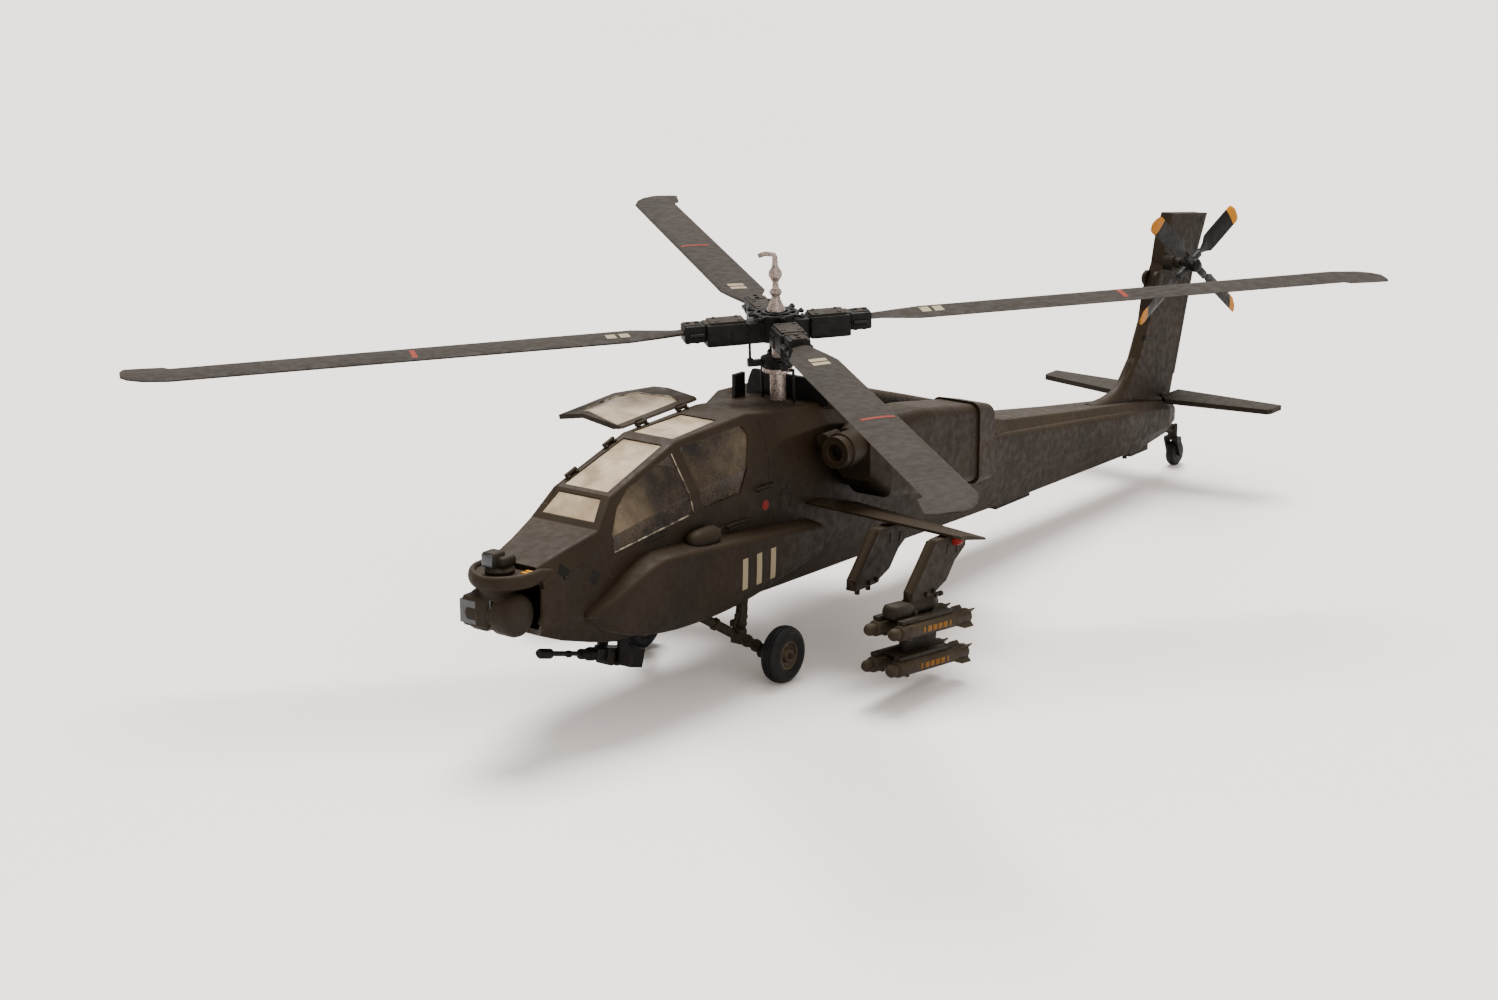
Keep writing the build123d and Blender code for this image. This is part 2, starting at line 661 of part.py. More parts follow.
GEARBOX_X = 20.2
GEARBOX_Z = 50.0
GEARBOX_RADIUS = 4.2
with BuildPart() as gearbox_port:
    with BuildSketch(cross_plane(3.0)):
        with Locations((GEARBOX_X, GEARBOX_Z)):
            Circle(GEARBOX_RADIUS)
        with Locations((15.2, 51.6)):
            Circle(1.8)
    extrude(amount=5.4)
    with BuildSketch(cross_plane(-2.4)):
        with Locations((GEARBOX_X, GEARBOX_Z)):
            Circle(GEARBOX_RADIUS - 0.4)
    extrude(amount=2.4)
    with BuildSketch(cross_plane(-1.4)):
        with Locations((GEARBOX_X, GEARBOX_Z)):
            Circle(2.1)
    extrude(amount=6.0, mode=Mode.SUBTRACT)
    add(hull_outer, mode=Mode.SUBTRACT)
with BuildPart() as nose_gearboxes:
    add(gearbox_port.part)
    mirror(gearbox_port.part, about=Plane.YZ)
finish(nose_gearboxes, "nose_gearboxes")

with BuildPart() as exhaust_port:
    loft(
        sections=[
            nacelle_section(48.0, 12.6, 26.8, 31.4, 52.2),
            nacelle_section(56.0, 12.8, 26.0, 30.8, 50.2),
        ],
        ruled=True,
    )
    with BuildSketch(cross_plane(56.0)):
        with GridLocations(0, 5.6, 1, 3):
            with Locations((19.4, 40.5)):
                RectangleRounded(9.6, 4.2, 1.0)
    extrude(amount=5.0, mode=Mode.SUBTRACT)
    add(hull_outer, mode=Mode.SUBTRACT)
    add(transmission_fairing.part, mode=Mode.SUBTRACT)
with BuildPart() as exhaust_suppressors:
    add(exhaust_port.part)
    mirror(exhaust_port.part, about=Plane.YZ)
finish(exhaust_suppressors, "exhaust_suppressors")

# ---------------------------------------------------------------- stub wings and stores
# x, leading edge station and height, trailing edge station and height, thickness
WING = [
    (10.0, -5.0, 36.8, 16.5, 31.9, 2.6),
    (WING_TIP_X - 1.2, -4.6, 35.4, 8.6, 31.9, 1.8),
    (WING_TIP_X, -3.4, 35.0, 7.4, 32.1, 1.0),
]


def wing_section(x, lead_s, lead_z, trail_s, trail_z, thickness):
    mid_s = lead_s + 0.3 * (trail_s - lead_s)
    mid_z = lead_z + 0.3 * (trail_z - lead_z)
    half = thickness / 2
    return side_outline(
        x,
        [
            (lead_s, lead_z + 0.2), (mid_s, mid_z + half), (trail_s, trail_z + 0.2),
            (trail_s, trail_z - 0.2), (mid_s, mid_z - half), (lead_s, lead_z - 0.4),
        ],
    )


with BuildPart() as wing_port:
    loft(sections=[wing_section(*row) for row in WING], ruled=True)
    add(hull_outer, mode=Mode.SUBTRACT)
finish(wing_port, "wing_port")
with BuildPart() as wing_starboard:
    mirror(wing_port.part, about=Plane.YZ)
finish(wing_starboard, "wing_starboard")

PYLON_HALF = 1.3
LUG_FACE_Z = 22.2
LUG_STATIONS = (-15.4, -11.0)
PYLON_SIDE = [
    (-7.6, 34.6), (-17.9, 24.0), (-17.9, LUG_FACE_Z), (-8.6, LUG_FACE_Z), (-8.0, 23.0),
    (-4.0, 24.4), (-0.4, 28.4), (3.8, 30.8), (4.4, 33.0), (-3.0, 34.6),
]
with BuildPart() as pylons_port:
    for pylon_x in (INBOARD_PYLON_X, OUTBOARD_PYLON_X):
        extrude(side_outline(pylon_x - PYLON_HALF, PYLON_SIDE), amount=2 * PYLON_HALF)
    with Locations(*[(INBOARD_PYLON_X, aft(station), LUG_FACE_Z) for station in LUG_STATIONS]):
        Cylinder(LUG_RADIUS, LUG_LENGTH, align=(Align.CENTER, Align.CENTER, Align.MAX))
    add(wing_port.part, mode=Mode.SUBTRACT)
with BuildPart() as pylons:
    add(pylons_port.part)
    mirror(pylons_port.part, about=Plane.YZ)
finish(pylons, "pylons")

STORE_STATION = -14.3
STORE_HEIGHT = 12.3
MISSILE_SPREAD = 3.3
MISSILE_RISE = 4.2


def store_plane(back):
    """Plane across the stores, this far aft of their middle; local y is up."""
    pitch = radians(STORE_TILT)
    origin = (
        OUTBOARD_PYLON_X,
        aft(STORE_STATION) + back * cos(pitch),
        STORE_HEIGHT - back * sin(pitch),
    )
    return Plane(origin=origin, x_dir=(-1, 0, 0), z_dir=(0, cos(pitch), -sin(pitch)))


FRONT = -MISSILE_LENGTH / 2
with BuildPart() as missiles_port:
    for across in (-MISSILE_SPREAD, MISSILE_SPREAD):
        for up in (-MISSILE_RISE, MISSILE_RISE):
            with BuildSketch(store_plane(FRONT + 3.0)):
                with Locations((across, up)):
                    Circle(MISSILE_RADIUS)
            extrude(amount=MISSILE_LENGTH - 3.0)
            with BuildSketch(store_plane(FRONT + 1.4)):
                with Locations((across, up)):
                    Circle(MISSILE_RADIUS - 0.35)
            extrude(amount=1.6)
            with BuildSketch(store_plane(FRONT)):
                with Locations((across, up)):
                    Circle(MISSILE_RADIUS - 0.95)
            extrude(amount=1.4)
            with BuildSketch(store_plane(FRONT + MISSILE_LENGTH - 6.4)):
                for angle in (45, 135):
                    with Locations(Location((across, up), angle)):
                        Rectangle(5.8, 0.35)
            extrude(amount=6.0)
with BuildPart() as missiles:
    add(missiles_port.part)
    mirror(missiles_port.part, about=Plane.YZ)
finish(missiles, "missiles")

with BuildPart() as launcher_port:
    for centre_up, height, front, length in ((7.0, 1.4, -13.0, 22.0), (-1.5, 1.0, -13.0, 22.0)):
        with BuildSketch(store_plane(front)):
            with Locations((0, centre_up)):
                Rectangle(9.0, height)
        extrude(amount=length)
    with BuildSketch(store_plane(-8.0)):
        with Locations((0, 2.6)):
            Rectangle(1.8, 7.6)
    extrude(amount=14.0)
    with BuildSketch(store_plane(-11.0)):
        for across in (-MISSILE_SPREAD, MISSILE_SPREAD):
            for up in (5.9, -2.4):
                with Locations((across, up)):
                    Rectangle(0.9, 1.2)
    extrude(amount=18.0)
    with BuildSketch(store_plane(-12.0)):
        with Locations((0, 9.3)):
            RectangleRounded(3.6, 3.4, 0.6)
    extrude(amount=19.0)
    add(missiles_port.part, mode=Mode.SUBTRACT)
    add(pylons_port.part, mode=Mode.SUBTRACT)
with BuildPart() as launchers:
    add(launcher_port.part)
    mirror(launcher_port.part, about=Plane.YZ)
finish(launchers, "launchers")

# ---------------------------------------------------------------- tail
FIN_HALF = 1.9
STABILATOR_STATION = 183.6
STABILATOR_HEIGHT = 23.6
TUBE_RADIUS = 0.5
FIN_SIDE = [
    (160.5, 26.8), (170.0, 36.8), (176.6, 49.4), (177.8, 54.6), (182.4, 61.6), (184.0, 68.2), (187.6, 75.4),
    (206.8, 72.6), (200.6, 59.6), (194.6, 40.4), (188.4, 21.0), (170.0, 20.0),
]
with BuildPart() as vertical_fin:
    extrude(side_outline(-FIN_HALF, FIN_SIDE), amount=2 * FIN_HALF)
    chamfer(vertical_fin.faces().sort_by(Axis.X)[0].edges().sort_by(Axis.Y)[:3], 0.8)
    chamfer(vertical_fin.faces().sort_by(Axis.X)[-1].edges().sort_by(Axis.Y)[:3], 0.8)
    with BuildSketch(Plane.YZ.offset(-10)):
        with Locations((aft(STABILATOR_STATION), STABILATOR_HEIGHT)):
            Circle(TUBE_RADIUS + 0.06)
    extrude(amount=20, mode=Mode.SUBTRACT)
    add(hull_outer, mode=Mode.SUBTRACT)
finish(vertical_fin, "vertical_fin")

with BuildPart() as fin_flap:
    flap_side = [(207.0, 72.5), (210.4, 72.0), (203.9, 59.2), (197.8, 39.8), (194.0, 27.8), (190.8, 28.4)]
    flap_side += [(194.8, 40.4), (200.8, 59.6)]
    extrude(side_outline(-0.5, flap_side), amount=1.0)
    add(vertical_fin.part, mode=Mode.SUBTRACT)
finish(fin_flap, "fin_flap")

STABILATOR_PLAN = [(3.8, 180.8), (6.6, 177.8), (36.0, 183.2), (36.6, 184.6), (36.6, 190.4), (3.8, 190.4)]
with BuildPart() as stabilator:
    with BuildSketch(Plane.XY.offset(STABILATOR_HEIGHT - 0.7)):
        with BuildLine():
            Polyline(*[(x, aft(station)) for x, station in STABILATOR_PLAN], close=True)
        make_face()
    extrude(amount=1.4)
    mirror(about=Plane.YZ)
    with BuildSketch(Plane.YZ.offset(-5)):
        with Locations((aft(STABILATOR_STATION), STABILATOR_HEIGHT)):
            Circle(TUBE_RADIUS)
    extrude(amount=10)
finish(stabilator, "stabilator")

TAIL_BORE = 0.66
with BuildPart() as tail_rotor_gearbox:
    steps = ((FIN_HALF, 3.2, 2.3), (FIN_HALF + 3.2, 1.8, 1.5), (FIN_HALF + 5.0, 4.6, 0.6))
    for start, length, radius in steps:
        with BuildSketch(Plane.YZ.offset(start)):
            with Locations((aft(TAIL_ROTOR_STATION), TAIL_ROTOR_HEIGHT)):
                Circle(radius)
        extrude(amount=length)
finish(tail_rotor_gearbox, "tail_rotor_gearbox")

TAIL_PAIRS = ((9.2, 23.0), (11.2, 146.5))
with BuildPart() as tail_rotor_hub:
    with BuildSketch(Plane.YZ.offset(7.8)):
        with Locations((aft(TAIL_ROTOR_STATION), TAIL_ROTOR_HEIGHT)):
            Circle(1.9)
    extrude(amount=5.2)
    for pair_x, angle in TAIL_PAIRS:
        with BuildSketch(Plane.YZ.offset(pair_x - 0.7)):
            with Locations(Location((aft(TAIL_ROTOR_STATION), TAIL_ROTOR_HEIGHT), angle)):
                Rectangle(11.0, 1.8)
        extrude(amount=1.4)
    with BuildSketch(Plane.YZ.offset(7.0)):
        with Locations((aft(TAIL_ROTOR_STATION), TAIL_ROTOR_HEIGHT)):
            Circle(TAIL_BORE)
    extrude(amount=4.8, mode=Mode.SUBTRACT)
finish(tail_rotor_hub, "tail_rotor_hub")

TAIL_BLADE_UPPER = [
    (5.5, 0.7), (8.6, 0.9), (10.6, TAIL_BLADE_HALF_CHORD),
    (TAIL_ROTOR_RADIUS - 0.8, TAIL_BLADE_HALF_CHORD), (TAIL_ROTOR_RADIUS, TAIL_BLADE_HALF_CHORD - 0.8),
]
TAIL_BLADE_PLAN = TAIL_BLADE_UPPER + [(along, -half) for along, half in reversed(TAIL_BLADE_UPPER)]
with BuildPart() as tail_rotor_blades:
    for pair_x, angle in TAIL_PAIRS:
        for half_turn in (0, 180):
            disc_plane = Plane(
                origin=(pair_x - 0.4, aft(TAIL_ROTOR_STATION), TAIL_ROTOR_HEIGHT),
                x_dir=(0, 1, 0), z_dir=(1, 0, 0),
            )
            with BuildSketch(turned_plane(disc_plane, angle + half_turn)):
                with BuildLine():
                    Polyline(*TAIL_BLADE_PLAN, close=True)
                make_face()
            extrude(amount=0.8)
finish(tail_rotor_blades, "tail_rotor_blades")

# ---------------------------------------------------------------- undercarriage
def tube_between(start, end, radius):
    """A round strut between two (x, station, z) points."""
    first = Vector(start[0], aft(start[1]), start[2])
    last = Vector(end[0], aft(end[1]), end[2])
    with BuildSketch(Plane(origin=first, z_dir=last - first)) as section:
        Circle(radius)
    extrude(section.sketch, amount=(last - first).length)


AXLE_RADIUS = 0.7
TYRE_HALF_WIDTH = 2.4
RIM_RADIUS = 3.5
with BuildPart() as gear_port:
    tube_between((9.0, -47.0, 20.5), (17.2, -27.8, 7.2), 1.15)
    tube_between((14.2, -34.4, 11.4), (13.2, -30.6, 25.0), 0.9)
    tube_between((14.1, -34.2, 12.0), (13.7, -32.5, 18.5), 1.4)
    with Locations((15.2, aft(-36.2), 12.2)):
        Box(3.0, 1.6, 2.4)
    with BuildSketch(Plane.YZ.offset(16.4)):
        with Locations((aft(MAIN_WHEEL_STATION), MAIN_WHEEL_RADIUS)):
            Circle(1.5)
    extrude(amount=2.0)
    with BuildSketch(Plane.YZ.offset(17.0)):
        with Locations((aft(MAIN_WHEEL_STATION), MAIN_WHEEL_RADIUS)):
            Circle(AXLE_RADIUS)
    extrude(amount=6.6)
    add(hull_outer, mode=Mode.SUBTRACT)
    add(avionics_bay_port.part, mode=Mode.SUBTRACT)
with BuildPart() as main_gear_legs:
    add(gear_port.part)
    mirror(gear_port.part, about=Plane.YZ)
finish(main_gear_legs, "main_gear_legs")

for side_name, side in (("port", 1), ("starboard", -1)):
    wheel_plane = Plane(
        origin=(side * (MAIN_WHEEL_X - TYRE_HALF_WIDTH), aft(MAIN_WHEEL_STATION), MAIN_WHEEL_RADIUS),
        x_dir=(0, 1, 0), z_dir=(side, 0, 0),
    )
    with BuildPart() as tyre:
        with BuildSketch(wheel_plane):
            Circle(MAIN_WHEEL_RADIUS)
            Circle(RIM_RADIUS, mode=Mode.SUBTRACT)
        extrude(amount=2 * TYRE_HALF_WIDTH)
        fillet(tyre.edges().filter_by(GeomType.CIRCLE).sort_by(SortBy.RADIUS)[-2:], 1.5)
    finish(tyre, "tyre_" + side_name)
    with BuildPart() as wheel:
        with BuildSketch(wheel_plane.offset(0.5)):
            Circle(RIM_RADIUS)
            Circle(AXLE_RADIUS + 0.05, mode=Mode.SUBTRACT)
        extrude(amount=2 * TYRE_HALF_WIDTH - 1.0)
        with BuildSketch(wheel_plane.offset(2 * TYRE_HALF_WIDTH - 1.1)):
            Circle(RIM_RADIUS - 0.6)
            Circle(1.5, mode=Mode.SUBTRACT)
        extrude(amount=1.2, mode=Mode.SUBTRACT)
    finish(wheel, "wheel_hub_" + side_name)

SWIVEL_STATION = 195.0
SWIVEL_RADIUS = 0.6
FORK_HALF = 1.5
with BuildPart() as tail_strut:
    tube_between((0, 184.0, 14.6), (0, 193.8, 10.6), 0.9)
    with Locations((0, aft(SWIVEL_STATION), 9.0)):
        Cylinder(1.4, 3.0, align=STANDING)
        Cylinder(SWIVEL_RADIUS + 0.06, 2.2, align=STANDING, mode=Mode.SUBTRACT)
    add(hull_outer, mode=Mode.SUBTRACT)
finish(tail_strut, "tail_strut")

TAIL_AXLE_RADIUS = 0.4
with BuildPart() as tail_fork:
    fork_side = [(193.9, 8.8), (196.2, 8.8), (197.4, 3.4), (196.6, 2.7), (195.8, 3.2), (193.9, 7.6)]
    for inner in (FORK_HALF, -FORK_HALF - 0.7):
        extrude(side_outline(inner, fork_side), amount=0.7)
    fork_bridge = side_outline(-FORK_HALF, [(193.9, 8.8), (196.2, 8.8), (196.2, 7.9), (193.9, 7.9)])
    extrude(fork_bridge, amount=2 * FORK_HALF)
    with Locations((0, aft(SWIVEL_STATION), 8.4)):
        Cylinder(SWIVEL_RADIUS, 2.6, align=STANDING)
    with BuildSketch(Plane.YZ.offset(-FORK_HALF)):
        with Locations((aft(TAIL_WHEEL_STATION), TAIL_WHEEL_RADIUS)):
            Circle(TAIL_AXLE_RADIUS)
    extrude(amount=2 * FORK_HALF)
finish(tail_fork, "tail_fork")

with BuildPart() as tail_wheel:
    with BuildSketch(Plane.YZ.offset(-1.2)):
        with Locations((aft(TAIL_WHEEL_STATION), TAIL_WHEEL_RADIUS)):
            Circle(TAIL_WHEEL_RADIUS)
            Circle(TAIL_AXLE_RADIUS + 0.05, mode=Mode.SUBTRACT)
    extrude(amount=2.4)
    fillet(tail_wheel.edges().filter_by(GeomType.CIRCLE).sort_by(SortBy.RADIUS)[-2:], 0.8)
finish(tail_wheel, "tail_wheel")

with BuildPart() as belly_boxes:
    for station, length, half, low, high in ((102.5, 17.0, 3.2, 10.6, 15.0), (171.0, 10.0, 2.6, 9.3, 13.0)):
        with Locations((0, aft(station), low)):
            Box(2 * half, length, high - low, align=STANDING)
        with Locations(*[(0, aft(station + step), low) for step in (-3.6, 0, 3.6)]):
            Cylinder(0.7, 1.1, align=(Align.CENTER, Align.CENTER, Align.MAX))
    add(hull_outer, mode=Mode.SUBTRACT)
finish(belly_boxes, "belly_boxes")
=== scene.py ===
"""Looks of a 1:48 kit helicopter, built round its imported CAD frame.

Lengths here are millimetres until a piece is made, where MM turns them into metres. The nose points
to -Y, the port side is +X, and a station is the distance aft of the rotor mast.
"""
import json
from math import cos, pi, radians, sin, sqrt

import bmesh
import bpy
from mathutils import Matrix, Vector
from mathutils.bvhtree import BVHTree


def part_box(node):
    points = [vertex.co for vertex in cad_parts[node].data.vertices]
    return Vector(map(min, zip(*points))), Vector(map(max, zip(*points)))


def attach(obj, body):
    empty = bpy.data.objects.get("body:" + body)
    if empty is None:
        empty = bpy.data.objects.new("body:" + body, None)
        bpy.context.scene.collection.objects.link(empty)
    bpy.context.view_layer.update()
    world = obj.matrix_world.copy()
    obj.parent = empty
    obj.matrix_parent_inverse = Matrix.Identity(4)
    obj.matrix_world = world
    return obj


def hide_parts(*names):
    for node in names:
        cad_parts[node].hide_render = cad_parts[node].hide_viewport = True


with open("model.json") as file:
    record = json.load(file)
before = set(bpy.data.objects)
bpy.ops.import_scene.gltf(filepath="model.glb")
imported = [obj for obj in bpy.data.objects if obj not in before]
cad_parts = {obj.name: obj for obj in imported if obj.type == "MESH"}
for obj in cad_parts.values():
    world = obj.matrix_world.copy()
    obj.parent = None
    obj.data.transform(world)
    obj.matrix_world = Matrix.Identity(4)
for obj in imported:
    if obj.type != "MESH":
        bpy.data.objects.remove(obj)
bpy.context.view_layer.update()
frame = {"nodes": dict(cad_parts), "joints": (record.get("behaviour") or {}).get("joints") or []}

MM = 0.001
JOINTS = {joint["name"]: joint for joint in frame["joints"]}


def joint_place(name):
    return Vector(JOINTS[name]["pos_m"]) / MM


def joint_axis(name):
    return Vector(JOINTS[name]["axis"]).normalized()


ROTOR_CENTRE = joint_place("main_rotor_spin")
ROTOR_AXIS = joint_axis("main_rotor_spin")
MAST_Y = ROTOR_CENTRE.y
TAIL_ROTOR_CENTRE = joint_place("tail_rotor_spin")
WHEEL_CENTRE = joint_place("wheel_port_roll")
GUN_PITCH = 15.5
BLADE_PHASE = 49.7
BLADE_COUNT = 4


def aft(station):
    return MAST_Y + station


def at(x, station, height):
    return Vector((x, aft(station), height))


def limits(node):
    """Lowest and highest corner of a CAD node, in millimetres."""
    low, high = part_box(node)
    return low / MM, high / MM


# -------- finishes
def tint(red, green, blue):
    """A colour given as on a screen, 0 to 255, in the linear values that shaders use."""
    def linear(value):
        value = value / 255
        return value / 12.92 if value <= 0.04045 else ((value + 0.055) / 1.055) ** 2.4
    return (linear(red), linear(green), linear(blue), 1.0)


class Surface:
    """A material, and the few node steps that the finishes share."""

    def __init__(self, name):
        self.material = bpy.data.materials.new(name)
        self.material.use_nodes = True
        self.nodes = self.material.node_tree.nodes
        self.links = self.material.node_tree.links
        self.shader = self.nodes["Principled BSDF"]
        self.place = self.nodes.new("ShaderNodeTexCoord").outputs["Object"]
        self.geometry = self.nodes.new("ShaderNodeNewGeometry")
        self.soft_edge = self.nodes.new("ShaderNodeBevel")
        self.soft_edge.samples = 4
        self.soft_edge.inputs["Radius"].default_value = 0.25 * MM
        self.relief = None

    def feed(self, socket, value):
        if isinstance(value, bpy.types.NodeSocket):
            self.links.new(value, socket)
        else:
            socket.default_value = value

    def math(self, operation, *values):
        node = self.nodes.new("ShaderNodeMath")
        node.operation = operation
        for socket, value in zip(node.inputs, values):
            self.feed(socket, value)
        return node.outputs["Value"]

    def noise(self, size, detail=4.0):
        """Cloudy values from 0 to 1 whose patches are about this many millimetres across."""
        node = self.nodes.new("ShaderNodeTexNoise")
        node.inputs["Scale"].default_value = 1.0 / (size * MM)
        node.inputs["Detail"].default_value = detail
        self.feed(node.inputs["Vector"], self.place)
        return node.outputs["Fac"]

    def span(self, value, low, high, start=0.0, end=1.0):
        """The value's run from low to high, stretched to start and end and held there."""
        node = self.nodes.new("ShaderNodeMapRange")
        for name, number in (("From Min", low), ("From Max", high), ("To Min", start), ("To Max", end)):
            node.inputs[name].default_value = number
        self.feed(node.inputs["Value"], value)
        return node.outputs["Result"]

    def mix(self, amount, first, second):
        node = self.nodes.new("ShaderNodeMix")
        node.data_type = "RGBA"
        self.feed(node.inputs[0], amount)
        self.feed(node.inputs[6], first)
        self.feed(node.inputs[7], second)
        return node.outputs[2]

    def axis(self, value, letter):
        node = self.nodes.new("ShaderNodeSeparateXYZ")
        self.feed(node.inputs[0], value)
        return node.outputs[letter]

    # Painted light: 1 on surfaces that face up, where the paint is painted lighter as if lit from above.
    def painted_top_light(self):
        return self.span(self.axis(self.geometry.outputs["Normal"], "Z"), -0.1, 0.9)

    def edges(self):
        """1 along outer edges, where handling rubs the paint."""
        node = self.nodes.new("ShaderNodeVectorMath")
        node.operation = "DOT_PRODUCT"
        self.feed(node.inputs[0], self.soft_edge.outputs["Normal"])
        self.feed(node.inputs[1], self.geometry.outputs["Normal"])
        return self.span(node.outputs["Value"], 0.99, 0.86)

    def seam(self, letter, place, width=0.22):
        """1 on a panel line across the X, Y or Z axis, at this place in millimetres."""
        return self.math("COMPARE", self.axis(self.place, letter), place * MM, width * MM / 2)

    def carve(self, height, depth):
        """Relief of this depth in millimetres, on top of the softened edges."""
        node = self.nodes.new("ShaderNodeBump")
        node.inputs["Distance"].default_value = depth * MM
        node.inputs["Strength"].default_value = 0.8
        self.feed(node.inputs["Height"], height)
        before = self.relief or self.soft_edge.outputs["Normal"]
        self.feed(node.inputs["Normal"], before)
        self.relief = node.outputs["Normal"]

    def done(self, colour, roughness, metallic=0.0):
        self.feed(self.shader.inputs["Base Color"], colour)
        self.feed(self.shader.inputs["Roughness"], roughness)
        self.shader.inputs["Metallic"].default_value = metallic
        self.feed(self.shader.inputs["Normal"], self.relief or self.soft_edge.outputs["Normal"])
        return self.material


def paint(name, dark, light, rubbed, roughness=0.6, seams=()):
    """Hand-brushed matte paint: cloudy, with painted light that makes upward-facing surfaces lighter, and
    rubbed lighter along the edges.
    """
    dark, light, rubbed = tint(*dark), tint(*light), tint(*rubbed)
    surface = Surface(name)
    clouds = surface.span(surface.noise(16.0, 1.5), 0.3, 0.7)
    brushing = surface.span(surface.noise(2.0, 3.0), 0.35, 0.65)
    tone = surface.math("MULTIPLY", clouds, 0.30)
    tone = surface.math("ADD", tone, surface.math("MULTIPLY", brushing, 0.05))
    # Painted light: surfaces facing up are painted lighter, standing in for the light from above.
    tone = surface.math("ADD", tone, surface.math("MULTIPLY", surface.painted_top_light(), 0.63))
    colour = surface.mix(tone, dark, light)
    wear = surface.math("MULTIPLY", surface.edges(), surface.span(surface.noise(3.0), 0.35, 0.6))
    colour = surface.mix(surface.math("MULTIPLY", wear, 0.7), colour, rubbed)
    if seams:
        lines = surface.seam(*seams[0])
        for seam in seams[1:]:
            lines = surface.math("MAXIMUM", lines, surface.seam(*seam))
        colour = surface.mix(surface.math("MULTIPLY", lines, 0.6), colour, dark)
        surface.carve(surface.math("SUBTRACT", 1.0, lines), 0.10)
    surface.carve(surface.noise(0.8, 2.0), 0.006)
    surface.shader.inputs["Specular IOR Level"].default_value = 0.12
    return surface.done(colour, surface.span(brushing, 0.0, 1.0, roughness - 0.07, roughness + 0.09))


def speckled_silver(name):
    """Aluminium paint thinly brushed over brown plastic."""
    surface = Surface(name)
    flecks = surface.span(surface.noise(0.4, 5.0), 0.34, 0.52)
    colour = surface.mix(flecks, tint(66, 54, 48), tint(140, 127, 119))
    surface.carve(surface.noise(0.5, 4.0), 0.04)
    return surface.done(colour, surface.span(flecks, 0.0, 1.0, 0.5, 0.32), metallic=0.45)


def rubber(name):
    surface = Surface(name)
    dust = surface.span(surface.noise(2.5, 6.0), 0.45, 0.75)
    colour = surface.mix(surface.math("MULTIPLY", dust, 0.5), tint(4, 4, 4), tint(20, 18, 16))
    surface.carve(surface.noise(0.4, 4.0), 0.05)
    surface.shader.inputs["Specular IOR Level"].default_value = 0.2
    return surface.done(colour, surface.span(dust, 0.0, 1.0, 0.62, 0.85))


def clear_pane(name):
    """Clear plastic gone milky and cloudy, with painted shade making the sides dark and a painted
    reflection making the top pale.
    """
    surface = Surface(name)
    surface.soft_edge.inputs["Radius"].default_value = 0.02 * MM
    clouds = surface.span(surface.noise(6.0, 4.0), 0.36, 0.66)
    scuffs = surface.span(surface.noise(2.2, 3.0), 0.5, 0.72)
    # Painted light: how far a surface faces up picks between the painted shade of the sides and the
    # painted reflection on top.
    flat = surface.span(surface.axis(surface.geometry.outputs["Normal"], "Z"), 0.30, 0.62)
    side = surface.mix(clouds, tint(13, 9, 5), tint(46, 36, 22))
    top = surface.mix(clouds, tint(142, 124, 98), tint(184, 166, 138))
    body = surface.span(flat, 0.0, 1.0, 0.90, 0.82)
    alpha = surface.math("ADD", body, surface.math("MULTIPLY", scuffs, 0.08))
    surface.feed(surface.shader.inputs["Alpha"], alpha)
    surface.carve(scuffs, 0.02)
    surface.shader.inputs["Specular IOR Level"].default_value = 0.18
    return surface.done(surface.mix(flat, side, top), surface.span(scuffs, 0.0, 1.0, 0.22, 0.36))


def dried_glue(name):
    surface = Surface(name)
    film = surface.span(surface.noise(3.0, 3.0), 0.36, 0.60)
    surface.feed(surface.shader.inputs["Alpha"], surface.span(film, 0.0, 1.0, 0.55, 1.0))
    surface.carve(film, 0.03)
    return surface.done(surface.mix(film, tint(72, 64, 52), tint(158, 148, 130)), 0.35)


def tinted_glass(name):
    surface = Surface(name)
    sheen = surface.span(surface.noise(3.0), 0.3, 0.7)
    colour = surface.mix(sheen, tint(14, 16, 20), tint(38, 42, 49))
    return surface.done(colour, surface.span(sheen, 0.0, 1.0, 0.18, 0.30))


HULL_SEAMS = [("Y", aft(station)) for station in (4.5, 62.0, 92.0, 131.0, 160.0)]
HULL_SEAMS += [("Y", aft(-88.5), 0.16), ("X", 0.0, 0.14)]
NACELLE_SEAMS = (("Y", aft(37.5), 0.5), ("Y", aft(45.0), 0.5), ("Y", aft(12.0)), ("Z", 44.0))
OLIVE_TONES = ((17, 11, 4), (43, 33, 19), (78, 62, 39))
BAY_SEAMS = (("Y", aft(-56.0), 0.18), ("Y", aft(-8.5), 0.18))
OLIVE = paint("olive_paint", *OLIVE_TONES, seams=HULL_SEAMS)
OLIVE_PLAIN = paint("olive_paint_plain", *OLIVE_TONES)
OLIVE_BANDED = paint("olive_paint_banded", *OLIVE_TONES, seams=NACELLE_SEAMS)
OLIVE_BAY = paint("olive_paint_bay", *OLIVE_TONES, seams=BAY_SEAMS)
OLIVE_DARK = paint("olive_paint_dark", (15, 11, 6), (38, 31, 20), (68, 56, 38))
OLIVE_MISSILE = paint("olive_paint_missile", (24, 18, 10), (54, 45, 31), (76, 66, 48))
OLIVE_MARK = paint("olive_marking", (7, 5, 3), (13, 10, 7), (18, 14, 10))
BLADE_GREY = paint("blade_grey_brown", (15, 11, 7), (38, 31, 23), (62, 52, 40), 0.66)
SOOT = paint("soot_black", (5, 4, 3), (14, 12, 10), (36, 30, 23), 0.55)
GUNMETAL = paint("gunmetal", (7, 6, 6), (20, 18, 16), (56, 50, 42), 0.42)
